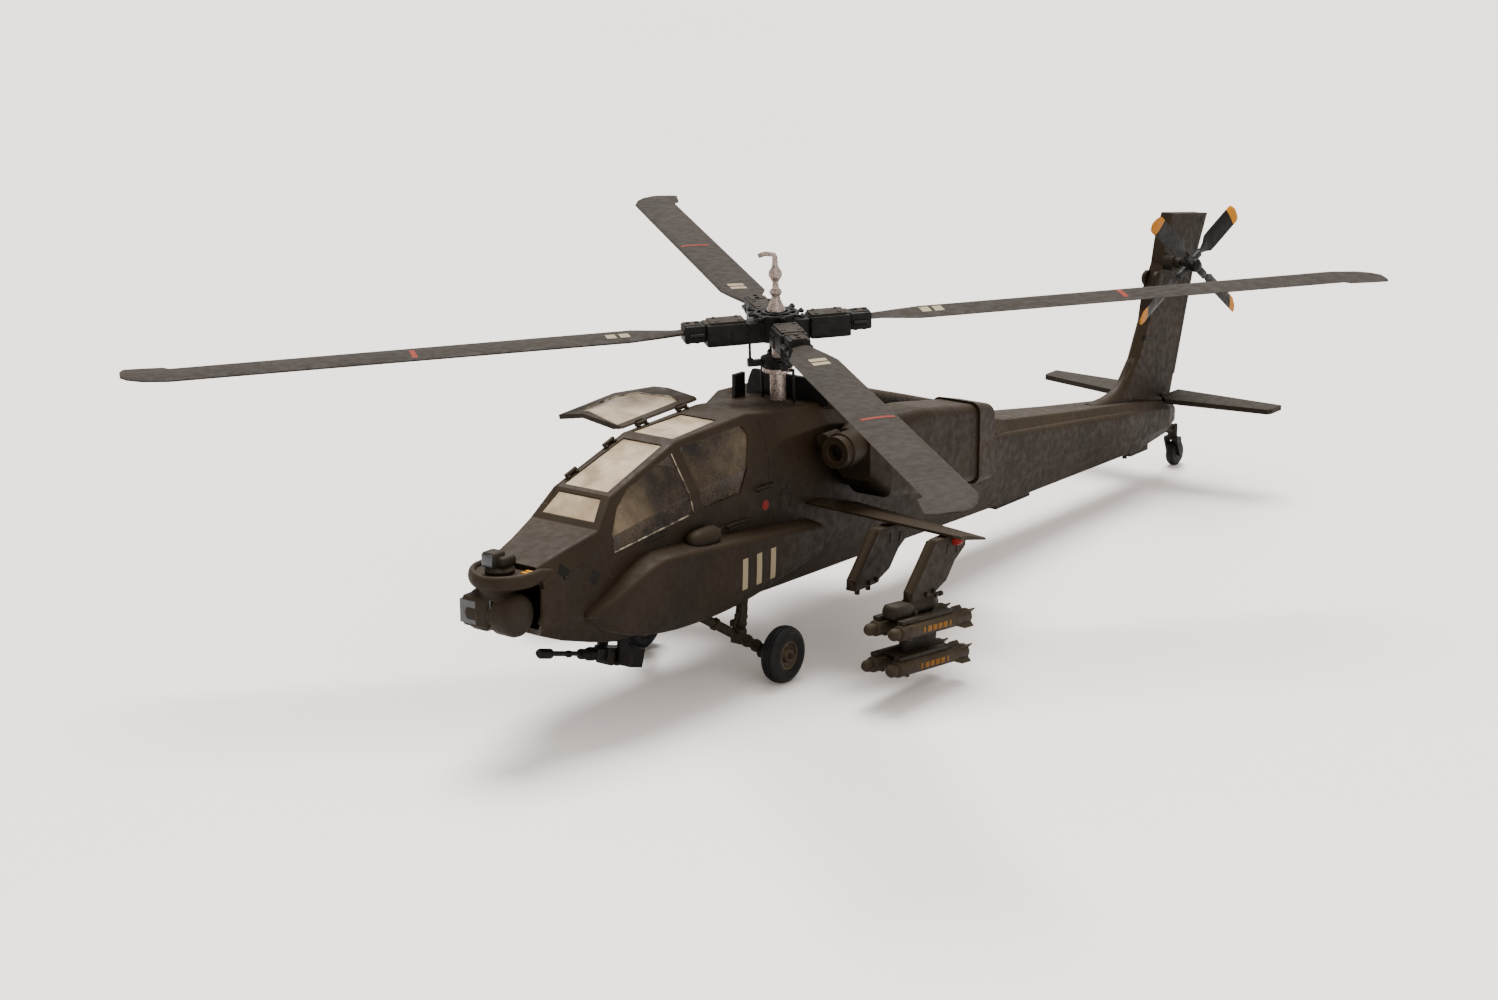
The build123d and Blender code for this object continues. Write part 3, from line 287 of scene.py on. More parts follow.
COCKPIT = paint("cockpit_grey", (12, 10, 9), (28, 26, 22), (46, 42, 36), 0.7)
BLUE_BLACK = paint("blue_black", (4, 5, 10), (12, 15, 24), (30, 34, 44), 0.5)
RIM_PAINT = paint("rim_brown_grey", (30, 24, 17), (70, 60, 46), (112, 100, 82), 0.5)
YELLOW = paint("ochre_yellow", (132, 80, 4), (176, 116, 8), (190, 136, 36), 0.55)
MISSILE_YELLOW = paint("worn_yellow", (84, 52, 4), (128, 82, 8), (96, 76, 40), 0.6)
CREAM = paint("cream_marking", (110, 99, 77), (150, 138, 112), (160, 148, 124), 0.6)
RED = paint("red_marking", (84, 6, 4), (126, 11, 7), (140, 34, 22), 0.4)
RUST = paint("rust_red_marking", (84, 22, 11), (122, 40, 24), (126, 58, 38), 0.6)
FABRIC = paint("seat_fabric", (24, 24, 14), (48, 46, 30), (66, 62, 44), 0.85)
SILVER = speckled_silver("speckled_silver")
RUBBER = rubber("tyre_rubber")
CLEAR = clear_pane("milky_pane")
GLUE = dried_glue("dried_glue")
GLASS = tinted_glass("grey_blue_glass")


# -------- shapes
def placed(centre, along=(0, 0, 1), side=(1, 0, 0)):
    """A frame at centre whose z axis runs along, and whose x axis leans towards side."""
    z_axis = Vector(along).normalized()
    x_axis = Vector(side)
    x_axis = (x_axis - z_axis * x_axis.dot(z_axis)).normalized()
    y_axis = z_axis.cross(x_axis)
    basis = Matrix((x_axis, y_axis, z_axis)).transposed().to_4x4()
    basis.translation = Vector(centre)
    return basis


def facing(point, side):
    """A frame at a point whose z axis runs straight out to this side."""
    return placed(point, (side, 0, 0), (0, 1, 0))


def circle(radius, segments):
    """(x, y) points round a circle."""
    turns = (2 * pi * i / segments for i in range(segments))
    return [(radius * cos(turn), radius * sin(turn)) for turn in turns]


def collar(radius, end_radius, length, chamfer):
    """The (along, radius) profile of a short cylinder whose ends taper."""
    return (0, end_radius), (chamfer, radius), (length - chamfer, radius), (length, end_radius)


def rounded_rectangle(width, height, radius, steps=3):
    """Points round a rectangle with rounded corners, about its centre."""
    radius = min(radius, width / 2 - 0.001, height / 2 - 0.001)
    points = []
    for quarter, (sx, sy) in enumerate(((1, 1), (-1, 1), (-1, -1), (1, -1))):
        for step in range(steps + 1):
            angle = (quarter + step / steps) * pi / 2
            x = sx * (width / 2 - radius) + radius * cos(angle)
            y = sy * (height / 2 - radius) + radius * sin(angle)
            points.append((x, y))
    return points


def between(table, place):
    """The value at a place on a line through (place, value) points."""
    if place <= table[0][0]:
        return table[0][1]
    for (a, first), (b, second) in zip(table, table[1:]):
        if place <= b:
            return first + (second - first) * (place - a) / (b - a)
    return table[-1][1]


def smooth_between(table, place):
    """The same on a smooth curve through the points."""
    places = [row[0] for row in table]
    index = max(0, min(len(table) - 2, sum(1 for p in places if p <= place) - 1))
    p1, v1 = table[index]
    p2, v2 = table[index + 1]
    p0, v0 = table[index - 1] if index else (2 * p1 - p2, 2 * v1 - v2)
    p3, v3 = table[index + 2] if index + 2 < len(table) else (2 * p2 - p1, 2 * v2 - v1)
    t = max(0.0, min(1.0, (place - p1) / (p2 - p1)))
    m1 = (v2 - v0) / (p2 - p0) * (p2 - p1)
    m2 = (v3 - v1) / (p3 - p1) * (p2 - p1)
    return (
        (2 * t**3 - 3 * t**2 + 1) * v1 + (t**3 - 2 * t**2 + t) * m1
        + (-2 * t**3 + 3 * t**2) * v2 + (t**3 - t**2) * m2
    )


def add_piece(name, mesh, material, body):
    """A mesh as a visible piece that rides a body."""
    mesh.materials.append(material)
    mesh.shade_smooth()
    item = bpy.data.objects.new(name, mesh)
    bpy.context.scene.collection.objects.link(item)
    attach(item, body)
    return item


class Form:
    """Collects the solids of one piece, in millimetres."""

    def __init__(self):
        self.mesh = bmesh.new()

    def skin(self, rings, closed=False):
        """A skin over rings of equal counts, capped, or closed from the last ring to the first."""
        loops = [[self.mesh.verts.new(point) for point in ring] for ring in rings]
        following = loops[1:] + loops[:1] if closed else loops[1:]
        for first, second in zip(loops, following):
            for i in range(len(first)):
                j = (i + 1) % len(first)
                self.mesh.faces.new((first[i], first[j], second[j], second[i]))
        if not closed:
            self.mesh.faces.new(list(reversed(loops[0])))
            self.mesh.faces.new(loops[-1])
        return self

    def turned(self, where, profile, segments=40, closed=False):
        """A profile of (along, radius) points turned about the frame's z axis. A closed one is a ring."""
        rings = [
            [where @ Vector((x, y, along)) for x, y in circle(radius, segments)]
            for along, radius in profile
        ]
        return self.skin(rings, closed)

    def block(self, where, size, edge=0.25):
        """A box with rounded edges, centred on the frame."""
        width, depth, height = size
        edge = min(edge, min(size) / 2 - 0.01)
        rings = []
        for end in (-1, 1):
            turns = (0.0, 0.5, 1.0) if end < 0 else (1.0, 0.5, 0.0)
            for turn in turns:
                inset = edge * (1 - sin(turn * pi / 2))
                z = end * (height / 2 - edge * (1 - cos(turn * pi / 2)))
                points = rounded_rectangle(width - 2 * inset, depth - 2 * inset, edge)
                rings.append([where @ Vector((x, y, z)) for x, y in points])
        return self.skin(rings)

    def rod(self, points, radius, segments=14):
        """A round rod through the points."""
        points = [Vector(point) for point in points]
        rings = []
        for index, point in enumerate(points):
            before = points[max(index - 1, 0)]
            after = points[min(index + 1, len(points) - 1)]
            where = placed(point, after - before, (0.31, 0.52, 0.79))
            rings.append([where @ Vector((x, y, 0)) for x, y in circle(radius, segments)])
        return self.skin(rings)

    def piece(self, name, material, body="airframe", slot="hull_olive", replaces=(), sharp=38):
        """The finished piece, in metres. Edges bent by more than sharp degrees stay crisp."""
        bmesh.ops.recalc_face_normals(self.mesh, faces=self.mesh.faces)
        bmesh.ops.scale(self.mesh, vec=(MM, MM, MM), verts=self.mesh.verts)
        data = bpy.data.meshes.new(name)
        self.mesh.to_mesh(data)
        self.mesh.free()
        item = add_piece(name, data, material, body)
        data.set_sharp_from_angle(angle=radians(sharp))
        if replaces:
            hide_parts(*replaces)
        return item


class Target:
    """The surface of CAD nodes or finished pieces, to lay small things on."""

    def __init__(self, *items):
        corners, faces = [], []
        for item in items:
            item = frame["nodes"][item] if isinstance(item, str) else item
            first = len(corners)
            corners += [vertex.co / MM for vertex in item.data.vertices]
            faces += [tuple(first + index for index in face.vertices) for face in item.data.polygons]
        self.tree = BVHTree.FromPolygons(corners, faces)

    def hit(self, start, direction):
        return self.tree.ray_cast(Vector(start), Vector(direction).normalized())[0]


DECAL_STEPS = 16
DARK_MARK_LIFT = 0.03


def decal(name, material, target, direction, patches, lift=0.05, body="airframe"):
    """Painted patches laid on a target. Each is a function of (u, v), 0 to 1, giving a start point."""
    data = bmesh.new()
    back = Vector(direction).normalized() * -lift
    for patch in patches:
        grid = {}
        for i in range(DECAL_STEPS + 1):
            for j in range(DECAL_STEPS + 1):
                spot = target.hit(patch(i / DECAL_STEPS, j / DECAL_STEPS), direction)
                if spot is not None:
                    grid[i, j] = data.verts.new((spot + back) * MM)
        for i in range(DECAL_STEPS):
            for j in range(DECAL_STEPS):
                corners = [grid.get(key) for key in ((i, j), (i + 1, j), (i + 1, j + 1), (i, j + 1))]
                if None not in corners:
                    data.faces.new(corners)
    mesh = bpy.data.meshes.new(name)
    data.to_mesh(mesh)
    data.free()
    return add_piece(name, mesh, material, body)


# How far out from the middle the rays towards the fuselage sides start.
OUTSIDE = 30.0


def strip(side, station, height, length, tall, lean=0.0, fall=0.0):
    """A four-sided patch seen along X, its top shifted aft by lean and its aft end down by fall."""
    def start(u, v):
        along, up = (u - 0.5) * length, v - 0.5
        return at(OUTSIDE * side, station + along + up * lean, height + up * tall - along * fall)
    return start


def disc(side, station, height, radius, inner=0.0):
    """A round patch seen along X, or a ring."""
    def start(u, v):
        reach = inner + (radius - inner) * v
        return at(OUTSIDE * side, station + reach * cos(2 * pi * u), height + reach * sin(2 * pi * u))
    return start


def diamond(side, station, height, reach):
    """A square patch seen along X, standing on a corner."""
    return lambda u, v: at(OUTSIDE * side, station + (u - v) * reach, height + (u + v - 1) * reach)


SIDES = (("port", 1), ("starboard", -1))

# -------- CAD nodes that stay in view
FINISHES = (
    (OLIVE, ("fuselage_half_port", "fuselage_half_starboard")),
    (OLIVE_BANDED, ("engine_nacelles",)),
    (OLIVE_PLAIN, (
        "canopy_frame", "pilot_door", "gunner_door", "transmission_fairing", "nose_gearboxes",
        "exhaust_suppressors", "wing_port", "wing_starboard", "pylons", "vertical_fin", "fin_flap",
    )),
    (OLIVE_DARK, (
        "door_hinges", "stabilator", "tail_rotor_gearbox", "main_gear_legs", "tail_strut", "belly_boxes",
    )),
    (CLEAR, ("canopy_panes", "pilot_door_pane", "gunner_door_pane")),
    (GLASS, ("turret_windows",)),
    (COCKPIT, ("cockpit_tub", "instrument_panels")),
    (FABRIC, ("front_seat", "rear_seat")),
    (GUNMETAL, ("gun_receiver", "gun_barrel", "control_rods")),
    (SILVER, ("static_mast",)),
    # arched_bulkhead is a black sheet behind the mast that stands in for the painted shade inside the
    # fairing's open front.
    (SOOT, (
        "control_sticks", "gun_mount", "swashplate", "rotor_hub", "arched_bulkhead", "tail_fork",
    )),
    (RUBBER, ("tail_wheel",)),
)
for finish, names in FINISHES:
    for name in names:
        node = frame["nodes"][name]
        for material_slot in node.material_slots:
            material_slot.material = finish
        if not node.material_slots:
            node.data.materials.append(finish)


# -------- main rotor
def rotor_frame(azimuth, out=0.0, across=0.0, up=0.0):
    """A frame on a blade arm: x out along the blade, y towards its leading edge, z up the shaft."""
    turn = radians(azimuth)
    disc_y = ROTOR_AXIS.cross(Vector((1, 0, 0))).normalized()
    x_axis = Vector((1, 0, 0)) * cos(turn) + disc_y * sin(turn)
    y_axis = ROTOR_AXIS.cross(x_axis)
    centre = ROTOR_CENTRE + x_axis * out + y_axis * across + ROTOR_AXIS * up
    return placed(centre, ROTOR_AXIS, x_axis)


BLADE_LEAD = (
    (22.6, 2.2), (30.0, 4.2), (36.0, 5.5), (142.0, 5.5), (147.5, 3.7), (150.8, 1.6), (152.2, -0.8),
)
BLADE_TRAIL = (
    (22.6, -2.2), (25.0, -2.2), (34.0, -5.5), (141.0, -5.5), (142.2, -7.0), (151.2, -8.3), (152.2, -6.0),
)
BLADE_STATIONS = (
    22.6, 24.0, 25.0, 27.5, 30.0, 32.0, 34.0, 36.0, 50.0, 70.0, 90.0, 110.0, 130.0, 138.0, 140.2, 141.0,
    141.6, 142.2, 144.0, 146.0, 147.5, 149.0, 150.2, 150.8, 151.3, 151.8, 152.2,
)
BLADE_THICKNESS = 1.1
THINNING_START, THINNING_LENGTH, THINNING_SHARE = 148, 4.2, 0.6
CREAM_MARKS = (36.6, 39.8)
RED_LINE = 86.0


def aerofoil(lead, trail, thickness, steps=12):
    """(across, up) points of a blade section, from the trailing edge over the top and back."""
    chord = lead - trail
    upper = []
    for step in range(steps + 1):
        x = (1 - cos(pi * step / steps)) / 2
        shape = 1.4845 * sqrt(x) - 0.63 * x - 1.758 * x**2 + 1.4215 * x**3 - 0.5075 * x**4
        upper.append((lead - chord * x, thickness * max(shape, 0.08)))
    lower = [(across, -up) for across, up in upper[1:-1]]
    return list(reversed(upper)) + lower


ARM_AZIMUTHS = [BLADE_PHASE + index * 360 / BLADE_COUNT for index in range(BLADE_COUNT)]
for index, azimuth in enumerate(ARM_AZIMUTHS):
    arm = rotor_frame(azimuth)
    rings = []
    for out in BLADE_STATIONS:
        past = max(0.0, (out - THINNING_START) / THINNING_LENGTH)
        thin = BLADE_THICKNESS * (1 - THINNING_SHARE * past)
        section = aerofoil(between(BLADE_LEAD, out), between(BLADE_TRAIL, out), thin)
        rings.append([arm @ Vector((out, across, up)) for across, up in section])
    number = str(index + 1)
    blade = Form().skin(rings).piece(
        "blade_" + number, BLADE_GREY, "main_rotor", "blade_grey", ["main_blade_" + number],
    )
    surface = Target(blade)

    def blade_patch(out, across, length, width, arm=arm):
        return lambda u, v: arm @ Vector((out + (u - 0.5) * length, across + (v - 0.5) * width, 4.0))

    for name, colour, patches in (
        ("blade_marks_", CREAM, [blade_patch(out, 0.6, 2.3, 4.0) for out in CREAM_MARKS]),
        ("blade_line_", RUST, [blade_patch(RED_LINE, 0.8, 1.3, 7.4)]),
    ):
        decal(name + number, colour, surface, -ROTOR_AXIS, patches, 0.05, "main_rotor")

hub_blocks = Form()
hub_caps = Form()
hub_bolts = Form()
for azimuth in ARM_AZIMUTHS:
    for form, place, size, edge in (
        (hub_blocks, (12.5, 0, -0.9), (9.8, 6.7, 5.3), 0.45),
        (hub_blocks, (20.0, 0, -0.3), (5.2, 5.3, 4.1), 0.4),
        (hub_blocks, (9.6, 3.0, -1.3), (4.2, 1.3, 3.4), 0.3),
        (hub_blocks, (9.6, -3.0, -1.3), (4.2, 1.3, 3.4), 0.3),
        (hub_caps, (12.2, 0, 1.95), (8.6, 5.6, 0.7), 0.2),
        (hub_caps, (16.9, 0, 1.4), (1.6, 4.6, 1.2), 0.25),
        (hub_caps, (20.4, 0, 1.75), (4.0, 3.6, 0.5), 0.15),
    ):
        form.block(rotor_frame(azimuth, *place), size, edge)
    for out, across in ((9.3, 1.9), (9.3, -1.9), (14.8, 1.9), (14.8, -1.9)):
        where = rotor_frame(azimuth, out, across, 2.2)
        hub_bolts.turned(where, ((0, 0.5), (0.25, 0.5), (0.38, 0.3)), 6)
    for out in (19.2, 21.4):
        hub_bolts.turned(
            rotor_frame(azimuth, out, 0, -3.0), ((0, 0.4), (0.1, 0.6), (5.0, 0.6), (5.35, 0.35)), 18,
        )
    for across in (-2.95, 2.95):
        hub_bolts.turned(
            placed(rotor_frame(azimuth, 18.0, across, -0.5).translation,
                   rotor_frame(azimuth).to_3x3() @ Vector((1, 0, 0)), ROTOR_AXIS),
            collar(0.55, 0.35, 3.55, 0.15), 18,
        )
hub_blocks.piece("grip_blocks", SOOT, "main_rotor", "dark_metal", ["blade_grips"])
hub_caps.piece("grip_caps", OLIVE_DARK, "main_rotor", "dark_metal")
hub_bolts.piece("grip_bolts", GUNMETAL, "main_rotor", "dark_metal")

plate = Form()
OUTER_RING = ((0, 5.4), (0.6, 5.4), (0.75, 5.2), (0.75, 4.7), (0.6, 4.5), (0, 4.5))
INNER_RING = ((0, 3.7), (0.9, 3.6), (1.0, 3.3), (0.9, 2.7), (0, 2.7))
plate.turned(rotor_frame(0, up=2.4), OUTER_RING, 60, True)
plate.turned(rotor_frame(0, up=2.4), INNER_RING, 48, True)
for spoke in range(8):
    azimuth = BLADE_PHASE + spoke * 45
    reach = 7.4 if spoke % 2 else 6.2
    plate.block(rotor_frame(azimuth, (reach + 3.2) / 2, 0, 2.75), (reach - 3.2, 0.9, 0.6), 0.15)
    plate.turned(rotor_frame(azimuth, reach - 0.2, 0, 2.5), ((0, 0.75), (0.55, 0.75), (0.7, 0.5)), 18)
    plate.turned(rotor_frame(azimuth, reach - 0.2, 0, 3.1), ((0, 0.42), (0.3, 0.42), (0.4, 0.25)), 6)
plate.piece("hub_spoked_plate", SOOT, "main_rotor", "dark_metal", ["hub_top_plate"])

links = Form()
for azimuth in ARM_AZIMUTHS:
    ends = [rotor_frame(azimuth, 6.6, 0, up).translation for up in (-8.1, -3.7)]
    links.rod(ends, 0.32)
    for end in ends:
        links.turned(placed(end - ROTOR_AXIS * 0.45, ROTOR_AXIS), collar(0.75, 0.5, 0.9, 0.2), 20)
links.piece("pitch_link_rods", GUNMETAL, "main_rotor", "dark_metal", ["pitch_links"])

probe = Form()
PROBE_PROFILE = (
    (3.4, 2.3), (3.8, 2.2), (5.0, 1.6), (6.0, 1.15), (6.9, 0.95), (7.3, 1.3), (7.8, 1.55), (8.3, 1.3),
    (8.7, 0.85), (10.2, 0.7), (10.9, 1.1), (11.6, 1.55), (12.2, 1.65), (12.9, 1.45), (13.6, 0.95),
    (14.2, 0.72), (16.2, 0.62),
)
probe.turned(rotor_frame(0), PROBE_PROFILE, 48)
tip = [rotor_frame(0, along, 0, up).translation for along, up in (
    (0.0, 15.8), (0.0, 16.3), (-0.25, 16.65), (-0.7, 16.8), (-2.6, 16.7), (-3.6, 16.4), (-4.5, 16.0),
)]
probe.rod(tip, 0.58, 20)
probe.piece("air_data_probe", SILVER, "airframe", "silver_paint", ["air_data_sensor"])

# -------- tail rotor
TAIL_ROOT, TAIL_TIP, TAIL_HALF_CHORD = 8.6, 28.9, 2.55
TAIL_PITCH = -20
TAIL_PAIRS = ((9.2, 23.0), (11.2, 146.5))
YELLOW_START = 25.2
TAIL_HALF_CHORDS = (
    (5.4, 0.7), (TAIL_ROOT, 0.9), (10.6, TAIL_HALF_CHORD), (27.4, TAIL_HALF_CHORD), (28.4, 2.0),
    (TAIL_TIP, 1.0),
)


def tail_frame(x, azimuth):
    """A frame on a tail blade: x out along the blade, y across it, z to port."""
    turn = radians(azimuth)
    side = Vector((0, cos(turn), sin(turn)))
    return placed((x, TAIL_ROTOR_CENTRE.y, TAIL_ROTOR_CENTRE.z), (1, 0, 0), side)


def tail_blade(form, where, start, end):
    rings = []
    steps = 10
    for step in range(steps + 1):
        out = start + (end - start) * step / steps
        half = between(TAIL_HALF_CHORDS, out)
        pitch = radians(between(((TAIL_ROOT, 0), (12.0, TAIL_PITCH), (TAIL_TIP, TAIL_PITCH)), out))
        section = aerofoil(half, -half, 0.8 if out < 28 else 0.5, 8)
        ring = []
        for across, up in section:
            y = across * cos(pitch) - up * sin(pitch)
            z = across * sin(pitch) + up * cos(pitch)
            ring.append(where @ Vector((out, y, z)))
        rings.append(ring)
    form.skin(rings)


tail_dark = Form()
tail_yellow = Form()
tail_hub = Form()
for pair_x, angle in TAIL_PAIRS:
    for half_turn in (0, 180):
        where = tail_frame(pair_x, angle + half_turn)
        tail_blade(tail_dark, where, 5.4, YELLOW_START)
        tail_blade(tail_yellow, where, YELLOW_START, TAIL_TIP)
        tail_hub.block(where @ Matrix.Translation((4.4, 0, 0)), (4.2, 1.9, 1.5), 0.3)
        tail_hub.turned(
            placed(where @ Vector((6.6, -1.1, 0)), where.to_3x3() @ Vector((0, 1, 0))),
            collar(0.45, 0.3, 2.2, 0.1), 16,
        )
hub_centre = facing((0, TAIL_ROTOR_CENTRE.y, TAIL_ROTOR_CENTRE.z), 1)
TAIL_HUB_PROFILE = (
    (7.9, 1.5), (8.2, 1.9), (9.9, 1.9), (10.1, 1.5), (10.4, 1.9), (12.0, 1.9), (12.4, 1.5), (13.0, 0.8),
)
tail_hub.turned(hub_centre, TAIL_HUB_PROFILE)
tail_dark.piece("tail_blades_dark", SOOT, "tail_rotor", "blade_grey", ["tail_rotor_blades"])
tail_yellow.piece("tail_blades_yellow_tips", YELLOW, "tail_rotor", "blade_grey")
tail_hub.piece("tail_rotor_head", SOOT, "tail_rotor", "dark_metal", ["tail_rotor_hub"])

# -------- wheels
TYRE_RADIUS, TYRE_HALF = 6.75, 2.35
TYRE_PROFILE = [
    (-1.9, 3.55), (-TYRE_HALF + 0.1, 4.3), (-TYRE_HALF, 5.0), (-2.1, 5.8), (-1.6, 6.35), (-1.0, 6.62),
    (-0.95, 6.4), (-0.65, 6.4), (-0.6, 6.72), (-0.2, TYRE_RADIUS), (-0.15, 6.5),
]
TYRE_PROFILE += [(-along, radius) for along, radius in reversed(TYRE_PROFILE)]
HUB_PROFILE = (
    (-1.9, 3.5), (1.75, 3.5), (1.9, 3.3), (1.75, 2.9), (1.2, 2.6), (0.9, 1.9), (1.3, 1.6), (1.9, 1.4),
    (2.1, 0.9),
)
BOLT_COUNT, BOLT_REACH = 8, 2.25
for side_name, side in SIDES:
    axle = facing((side * WHEEL_CENTRE.x, WHEEL_CENTRE.y, WHEEL_CENTRE.z), side)
    body = "wheel_" + side_name
    colour = RUBBER if side > 0 else BLUE_BLACK
    Form().turned(axle, TYRE_PROFILE, 72, True).piece(
        "tyre_grooved_" + side_name, colour, body, "tyre", ["tyre_" + side_name], 50,
    )
    hub = Form().turned(axle, HUB_PROFILE, 48)
    for x, y in circle(BOLT_REACH, BOLT_COUNT):
        hub.turned(axle @ Matrix.Translation((x, y, 0.95)), ((0, 0.32), (0.35, 0.32), (0.45, 0.2)), 6)
    hub.piece("wheel_rim_" + side_name, RIM_PAINT, body, "dark_metal", ["wheel_hub_" + side_name])

# -------- glue round the canopy panes
GLUE_RADIUS, GLUE_LIFT = 0.2, 0.12
MIDDLE_HEIGHT = 35
LARGEST_GAP = 5.0


def outer_outlines(node):
    """The closed outlines of a pane's outer faces, in millimetres, lifted a little off the pane."""
    mesh = bmesh.new()
    mesh.from_mesh(frame["nodes"][node].data)
    bmesh.ops.remove_doubles(mesh, verts=mesh.verts, dist=1e-6)
    follows = {}
    for edge in mesh.edges:
        if len(edge.link_faces) != 2 or edge.calc_face_angle() < radians(50):
            continue
        centre = (edge.verts[0].co + edge.verts[1].co) / 2
        away = Vector((centre.x, 0, centre.z - MIDDLE_HEIGHT * MM))
        if max(face.normal.dot(away.normalized()) for face in edge.link_faces) > 0.6:
            for first, second in (edge.verts, reversed(edge.verts)):
                follows.setdefault(first, []).append(second)
    outlines = []
    while follows:
        start = next(iter(follows))
        chain, here, last = [start.co / MM], start, None
        while True:
            choices = [near for near in follows.pop(here, []) if near is not last and near in follows]
            if not choices:
                break
            last, here = here, choices[0]
            chain.append(here.co / MM)
        if len(chain) > 5 and (chain[0] - chain[-1]).length < LARGEST_GAP:
            outlines.append([
                point + Vector((point.x, 0, point.z - MIDDLE_HEIGHT)).normalized() * GLUE_LIFT
                for point in chain
            ])
    mesh.free()
    return outlines


for node, body in (
    ("canopy_panes", "airframe"), ("pilot_door_pane", "pilot_door"), ("gunner_door_pane", "gunner_door"),
):
    glue = Form()
    for outline in outer_outlines(node):
        glue.rod(outline + outline[:1], GLUE_RADIUS, 8)
    glue.piece(node + "_glue_line", GLUE, body, "glazing", sharp=70)


# -------- side bays
def smooth_ring(points, rounds=2):
    """The closed outline with its corners cut round this many times."""
    for _ in range(rounds):
        cut = []
        for first, second in zip(points, points[1:] + points[:1]):
            cut.append(first.lerp(second, 0.25))
            cut.append(first.lerp(second, 0.75))
        points = cut
    return points


BAY_TOP = (
    (-84.6, 29.4), (-82.6, 30.4), (-78, 32.2), (-71.6, 35.6), (-65, 38.0), (-60, 38.0), (-31, 35.2),
    (-4, 32.2),
)
BAY_OUT = (
    (-84.6, 11.3), (-82.6, 12.5), (-78, 14.2), (-71.6, 15.6), (-63, 16.8), (-54, 17.0), (-4, 17.0),
)
BAY_LOW = (
    (-84.6, 28.4), (-82.6, 26.8), (-78, 23.8), (-68, 20.8), (-49, 19.4), (-33, 20.0), (-16.5, 22.4),
    (-4, 24.2),
)
BAY_STATIONS = [-84.6, -84.2, -83.6, -82.6, -81.0, -78.5]
BAY_STATIONS += [-76 + 4 * step for step in range(18)] + [-4.6, -4.2, -4.0]
BAY_ROOT = 8.6
BAY_BARS = (-35.6, -30.2, -24.8)
BULLET_PROFILE = (
    (0, 0.2), (0.25, 1.0), (0.9, 1.7), (2.2, 2.25), (4.0, 2.45), (8.0, 2.45), (9.4, 2.2), (9.9, 1.5),
    (10.0, 0.5),
)
for side_name, side in SIDES:
    rings = []
    for station in BAY_STATIONS:
        out = smooth_between(BAY_OUT, station)
        top = smooth_between(BAY_TOP, station)
        low = smooth_between(BAY_LOW, station)
        if station > -4.5:
            out, top, low = out - 0.5, top - 0.5, low + 0.5
        shelf = min(1.1, (top - low) * 0.3)
        section = (
            (BAY_ROOT, top + 1.0), (out - 2.0, top + 0.2), (out - 0.5, top - 0.1 * shelf),
            (out, top - 0.8 * shelf), (out, top - 1.6 * shelf), (out, (top + low) / 2),
            (out - 0.3, low + 1.4 * shelf), (out - 2.0, low), (BAY_ROOT, low + 0.3),
        )
        rings.append(smooth_ring([at(x * side, station, height) for x, height in section]))
    bay = Form().skin(rings).piece(
        "side_bay_" + side_name, OLIVE_BAY, replaces=["avionics_bay_" + side_name], sharp=50,
    )
    if side > 0:
        bars = [strip(side, station, 27.6, 2.0, 7.4) for station in BAY_BARS]
        decal("bay_plain_bars", CREAM, Target(bay), (-1, 0, 0), bars)
    fairings = Form()
    fairings.turned(placed(at(12.9 * side, -51.6, 37.9), (0, 1, 0), (side, 0, 0)), BULLET_PROFILE)
    for lift, station in ((1.2, -42.2), (-0.2, -42.0)):
        fairings.block(placed(at(14.3 * side, station, 37.9 + lift)), (0.8, 1.6, 0.8), 0.15)
    fairings.piece("bullet_fairing_" + side_name, OLIVE_PLAIN)

# -------- fuselage fittings and markings
HULLS = {
    1: Target("fuselage_half_port", "canopy_frame", "cockpit_tub"),
    -1: Target("fuselage_half_starboard", "canopy_frame", "cockpit_tub"),
}


def on_hull(side, station, height, out=0.0):
    """The place on the fuselage side that faces this station and height."""
    spot = HULLS[side].hit(at(OUTSIDE * side, station, height), (-side, 0, 0))
    return spot + Vector((side * out, 0, 0))


for side_name, side in SIDES:
    handles = Form()
    for start, end, height in ((-35.4, -28.2, 37.9), (-24.2, -17.8, 44.2)):
        ends = [on_hull(side, station, height, 0.35) for station in (start, end)]
        feet = (ends[0] - Vector((side * 0.8, 0.2, 0)), ends[1] - Vector((side * 0.8, -0.2, 0)))
        handles.rod((feet[0], *ends, feet[1]), 0.42)
        middle = (ends[0] + ends[1]) / 2
        handles.block(placed(middle - Vector((0, 0, 0.75))), (0.5, end - start - 1.2, 0.5), 0.15)
    for station, height in ((-90.2, 39.0), (-12.6, 52.0), (-7.5, 48.5), (66.0, 27.5), (118.0, 24.0)):
        spot = on_hull(side, station, height)
        where = facing(spot - Vector((side * 0.2, 0, 0)), side)
        handles.turned(where, ((0, 0.55), (0.5, 0.5), (0.62, 0.3)), 20)
    handles.piece("hull_handles_" + side_name, OLIVE_DARK)
    hull, inward = HULLS[side], (-side, 0, 0)
    decal("red_spot_" + side_name, RED, hull, inward, [disc(side, -20.4, 39.6, 1.2)])
    dark = [disc(side, -13.2, 39.6, 2.75, 2.3)]
    dark += [diamond(side, *mark) for mark in ((-90.6, 40.5, 1.7), (-81.6, 37.2, 2.0))]
    dark += [strip(side, *mark) for mark in (
        (-61.0, 41.9, 9.0, 0.7), (-60.6, 40.9, 8.0, 0.4), (-19.4, 48.0, 0.25, 25.0),
        (104.0, 24.0, 8.0, 0.5), (104.0, 22.8, 6.0, 0.5),
    )]
    decal("dark_marks_" + side_name, OLIVE_MARK, hull, inward, dark, DARK_MARK_LIFT)

